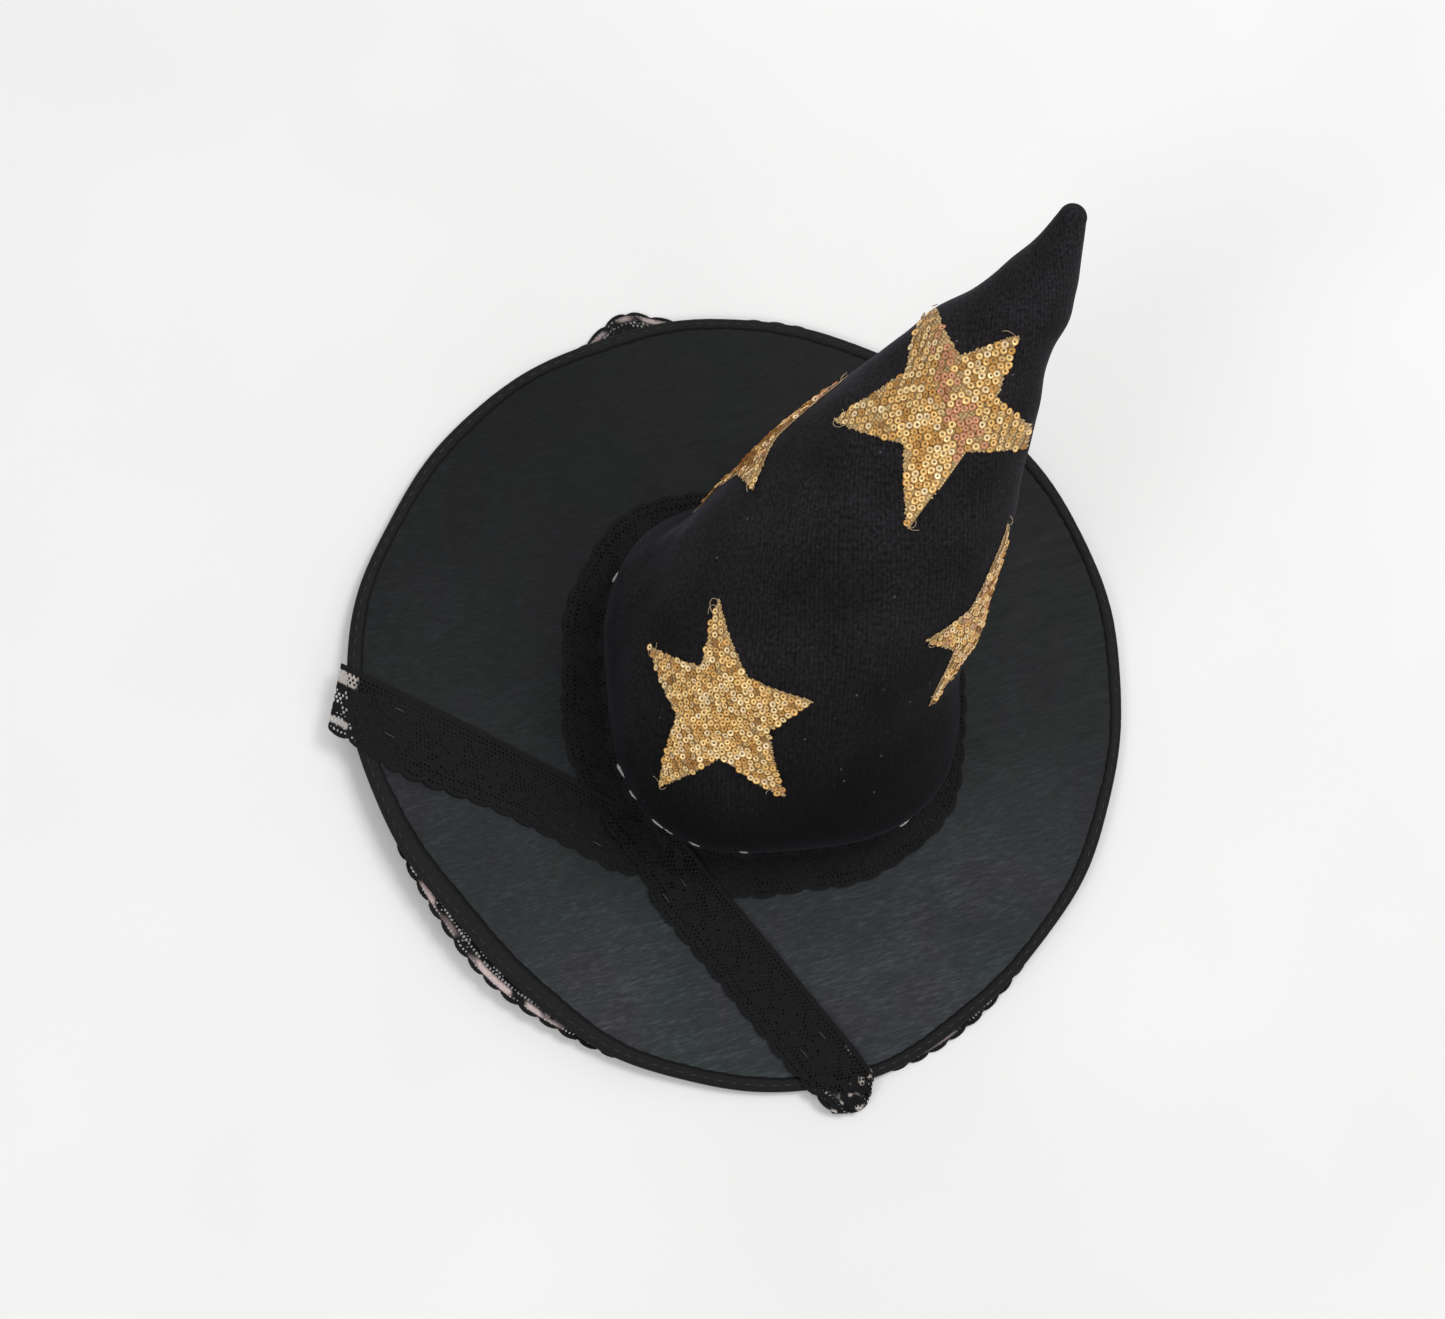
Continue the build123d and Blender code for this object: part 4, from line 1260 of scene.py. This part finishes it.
class PARTYHAT_OT_stars(bpy.types.Operator):
    """Builds the five sequin stars on the crown"""

    bl_idname = "partyhat.stars"
    bl_label = "Sequin stars"

    def execute(self, context):
        tilt = context.scene.party_hat_looks.sequin_tilt
        shell = bpy.data.objects["crown_velvet"]
        tree = BVHTree.FromPolygons(
            [v.co[:] for v in shell.data.vertices], [p.vertices[:] for p in shell.data.polygons]
        )
        film = sequin_film()
        string = twisted_thread("loose_gold_thread", "#8a6a45", "#e3c9a0")
        net_cloth = fine_weave("nylon_net_woven", "#7d5f38", "#e3c48c", 1.5, 0.7, 0.1)
        for index, (name, (middle, faces_way, tips, row_turn)) in enumerate(STARS.items()):
            rng = np.random.default_rng(100 + index)
            corners = star_corners(tips, index)
            axes = star_axes(middle, faces_way)
            out = axes[3]
            # sequins in staggered rows
            i, j = np.meshgrid(np.arange(-30, 31), np.arange(-36, 37), indexing="ij")
            shifted = i * SEQUIN_PITCH + (j % 2) * SEQUIN_PITCH / 2
            flat = np.stack([shifted, j * SEQUIN_PITCH * 0.88], -1).reshape(-1, 2)
            flat = flat[np.abs(flat).max(1) < STAR_REACH]
            row = math.radians(row_turn)
            spin = np.array([[math.cos(row), -math.sin(row)], [math.sin(row), math.cos(row)]])
            flat = flat @ spin.T + rng.normal(0, 0.22, flat.shape)
            depth = inside_outline(flat, corners)
            flat = flat[depth > rng.uniform(-0.5, 0.9, len(flat))]
            points, normals, landed = lay_on(tree, *axes, flat)
            good = landed & (normals @ out > 0.12)
            points, normals, flat = points[good], normals[good], flat[good]
            copper = np.zeros(len(flat))
            if name == "star_front_high":
                along = flat @ np.array([0.72, -0.69])
                across = flat @ np.array([0.69, 0.72])
                patch = (np.abs(across - 6) < 7) & (np.abs(along) < 34)
                copper = patch * rng.uniform(0, 1, len(flat))
            elif name in ("star_left", "star_right"):
                copper = (rng.uniform(0, 1, len(flat)) > 0.93) * 0.8
            missing = rng.uniform(0, 1, len(flat)) < np.where(copper > 0.55, 0.35, 0.012)
            points, normals, copper = points[~missing], normals[~missing], copper[~missing]
            count = len(points)
            lean = rng.normal(0, tilt, (count, 2))
            side = unit(np.cross(normals, np.array([0.3, 0.2, 0.93])))
            up = np.cross(normals, side)
            facing = unit(normals + side * (lean[:, :1] + 0.12) + up * lean[:, 1:])
            side = unit(np.cross(up, facing))
            up = np.cross(facing, side)
            size = rng.normal(1.0, 0.05, count)[:, None, None]
            local = SHAPE[None] * size
            lift = 0.75 + rng.uniform(0, 0.35, count)
            place = points + normals * lift[:, None]
            world = (
                place[:, None]
                + local[..., :1] * side[:, None]
                + local[..., 1:2] * up[:, None]
                + local[..., 2:] * facing[:, None]
            )
            bases = (np.arange(count) * len(SHAPE))[:, None, None]
            faces = (SHAPE_FACES[None] + bases).reshape(-1, 4)
            tone = rng.beta(2.0, 1.5, count) * 0.86
            if name in ("star_left", "star_right"):
                tone = np.clip(tone + 0.16, 0, 0.88)
            tone = np.where(copper > 0.35, 0.95, tone)
            tint = np.repeat(tone, len(SHAPE))
            # which ring of its cup each point is on, for the film's painted highlight and shade
            cup = np.tile(np.repeat((0.0, 0.55, 1.0), SEQUIN_SIDES), count)
            marks = {"tint": tint, "cup": cup}
            piece = mesh_piece(name + "_sequins", world.reshape(-1, 3), faces, marks=marks)
            finish_piece(piece, film, [name])

            # the net that carries them
            u = np.arange(-STAR_REACH, STAR_REACH, NET_STEP)
            uu, vv = np.meshgrid(u, u, indexing="ij")
            flat = np.stack([uu.ravel(), vv.ravel()], -1)
            ragged = 0.5 * np.sin(flat[:, 0] * 2.1) + 0.5 * np.sin(flat[:, 1] * 2.7 + 1)
            field = inside_outline(flat, corners) + 0.5 + ragged * 0.5
            quads, _ = grid_faces(len(u), len(u))
            quads = quads[field[quads].mean(1) > 0]
            used = np.unique(quads)
            points, normals, landed = lay_on(tree, *axes, flat[used])
            ok = landed & (normals @ out > 0.1)
            renumber = np.full(len(flat), -1)
            renumber[used[ok]] = np.arange(ok.sum())
            quads = renumber[quads]
            quads = quads[(quads >= 0).all(1)]
            uv = flat[used[ok]][quads].reshape(-1, 2)
            net = mesh_piece(name + "_net", points[ok] + normals[ok] * 0.4, quads, uv)
            finish_piece(net, net_cloth)

            # loose ends of sewing thread and sequin string at the cut edge
            strands = []
            for corner in corners[::2]:
                for _ in range(2):
                    start = corner * rng.uniform(0.9, 0.99)
                    way = rng.uniform(0, TURN)
                    length = rng.uniform(3, 7)
                    t = np.linspace(0, 1, 12)
                    line = start + np.stack(
                        [np.cos(way + 2.4 * t) * length * t, np.sin(way + 2.4 * t) * length * t], -1
                    )
                    spots, ups, hit = lay_on(tree, *axes, line)
                    if not hit.all() or (ups @ out).min() < 0.1:
                        continue
                    spots = spots + ups * (0.7 + 1.1 * np.sin(t * math.pi)[:, None])
                    strands.append(tube(spots, 0.13, 5, closed=False))
            if strands:
                loose = mesh_piece(name + "_loose_threads", *joined(strands))
                finish_piece(loose, string)
        return {"FINISHED"}


OPERATORS = (
    PARTYHAT_OT_stage,
    PARTYHAT_OT_crown,
    PARTYHAT_OT_brim,
    PARTYHAT_OT_band,
    PARTYHAT_OT_lace,
    PARTYHAT_OT_stars,
)


class PARTYHAT_PT_panel(bpy.types.Panel):
    """Lists the hat's settings and pieces"""

    bl_idname = "PARTYHAT_PT_panel"
    bl_label = "Party hat"
    bl_space_type = "VIEW_3D"
    bl_region_type = "UI"
    bl_category = "Party hat"

    def draw(self, context):
        for group in (context.scene.party_hat_sizes, context.scene.party_hat_looks):
            for name in group.bl_rna.properties.keys():
                if name not in ("rna_type", "name"):
                    self.layout.prop(group, name)
        for operator in OPERATORS:
            self.layout.operator(operator.bl_idname)


CLASSES = (HatLooks, HatSizes, *OPERATORS, PARTYHAT_PT_panel)


def register():
    for item in CLASSES:
        bpy.utils.register_class(item)
    bpy.types.Scene.party_hat_looks = PointerProperty(type=HatLooks)
    bpy.types.Scene.party_hat_sizes = PointerProperty(type=HatSizes)


def unregister():
    del bpy.types.Scene.party_hat_sizes
    del bpy.types.Scene.party_hat_looks
    for item in reversed(CLASSES):
        bpy.utils.unregister_class(item)


def main():
    register()
    for operator in OPERATORS:
        group, name = operator.bl_idname.split(".")
        getattr(getattr(bpy.ops, group), name)()


if __name__ == "__main__":
    main()
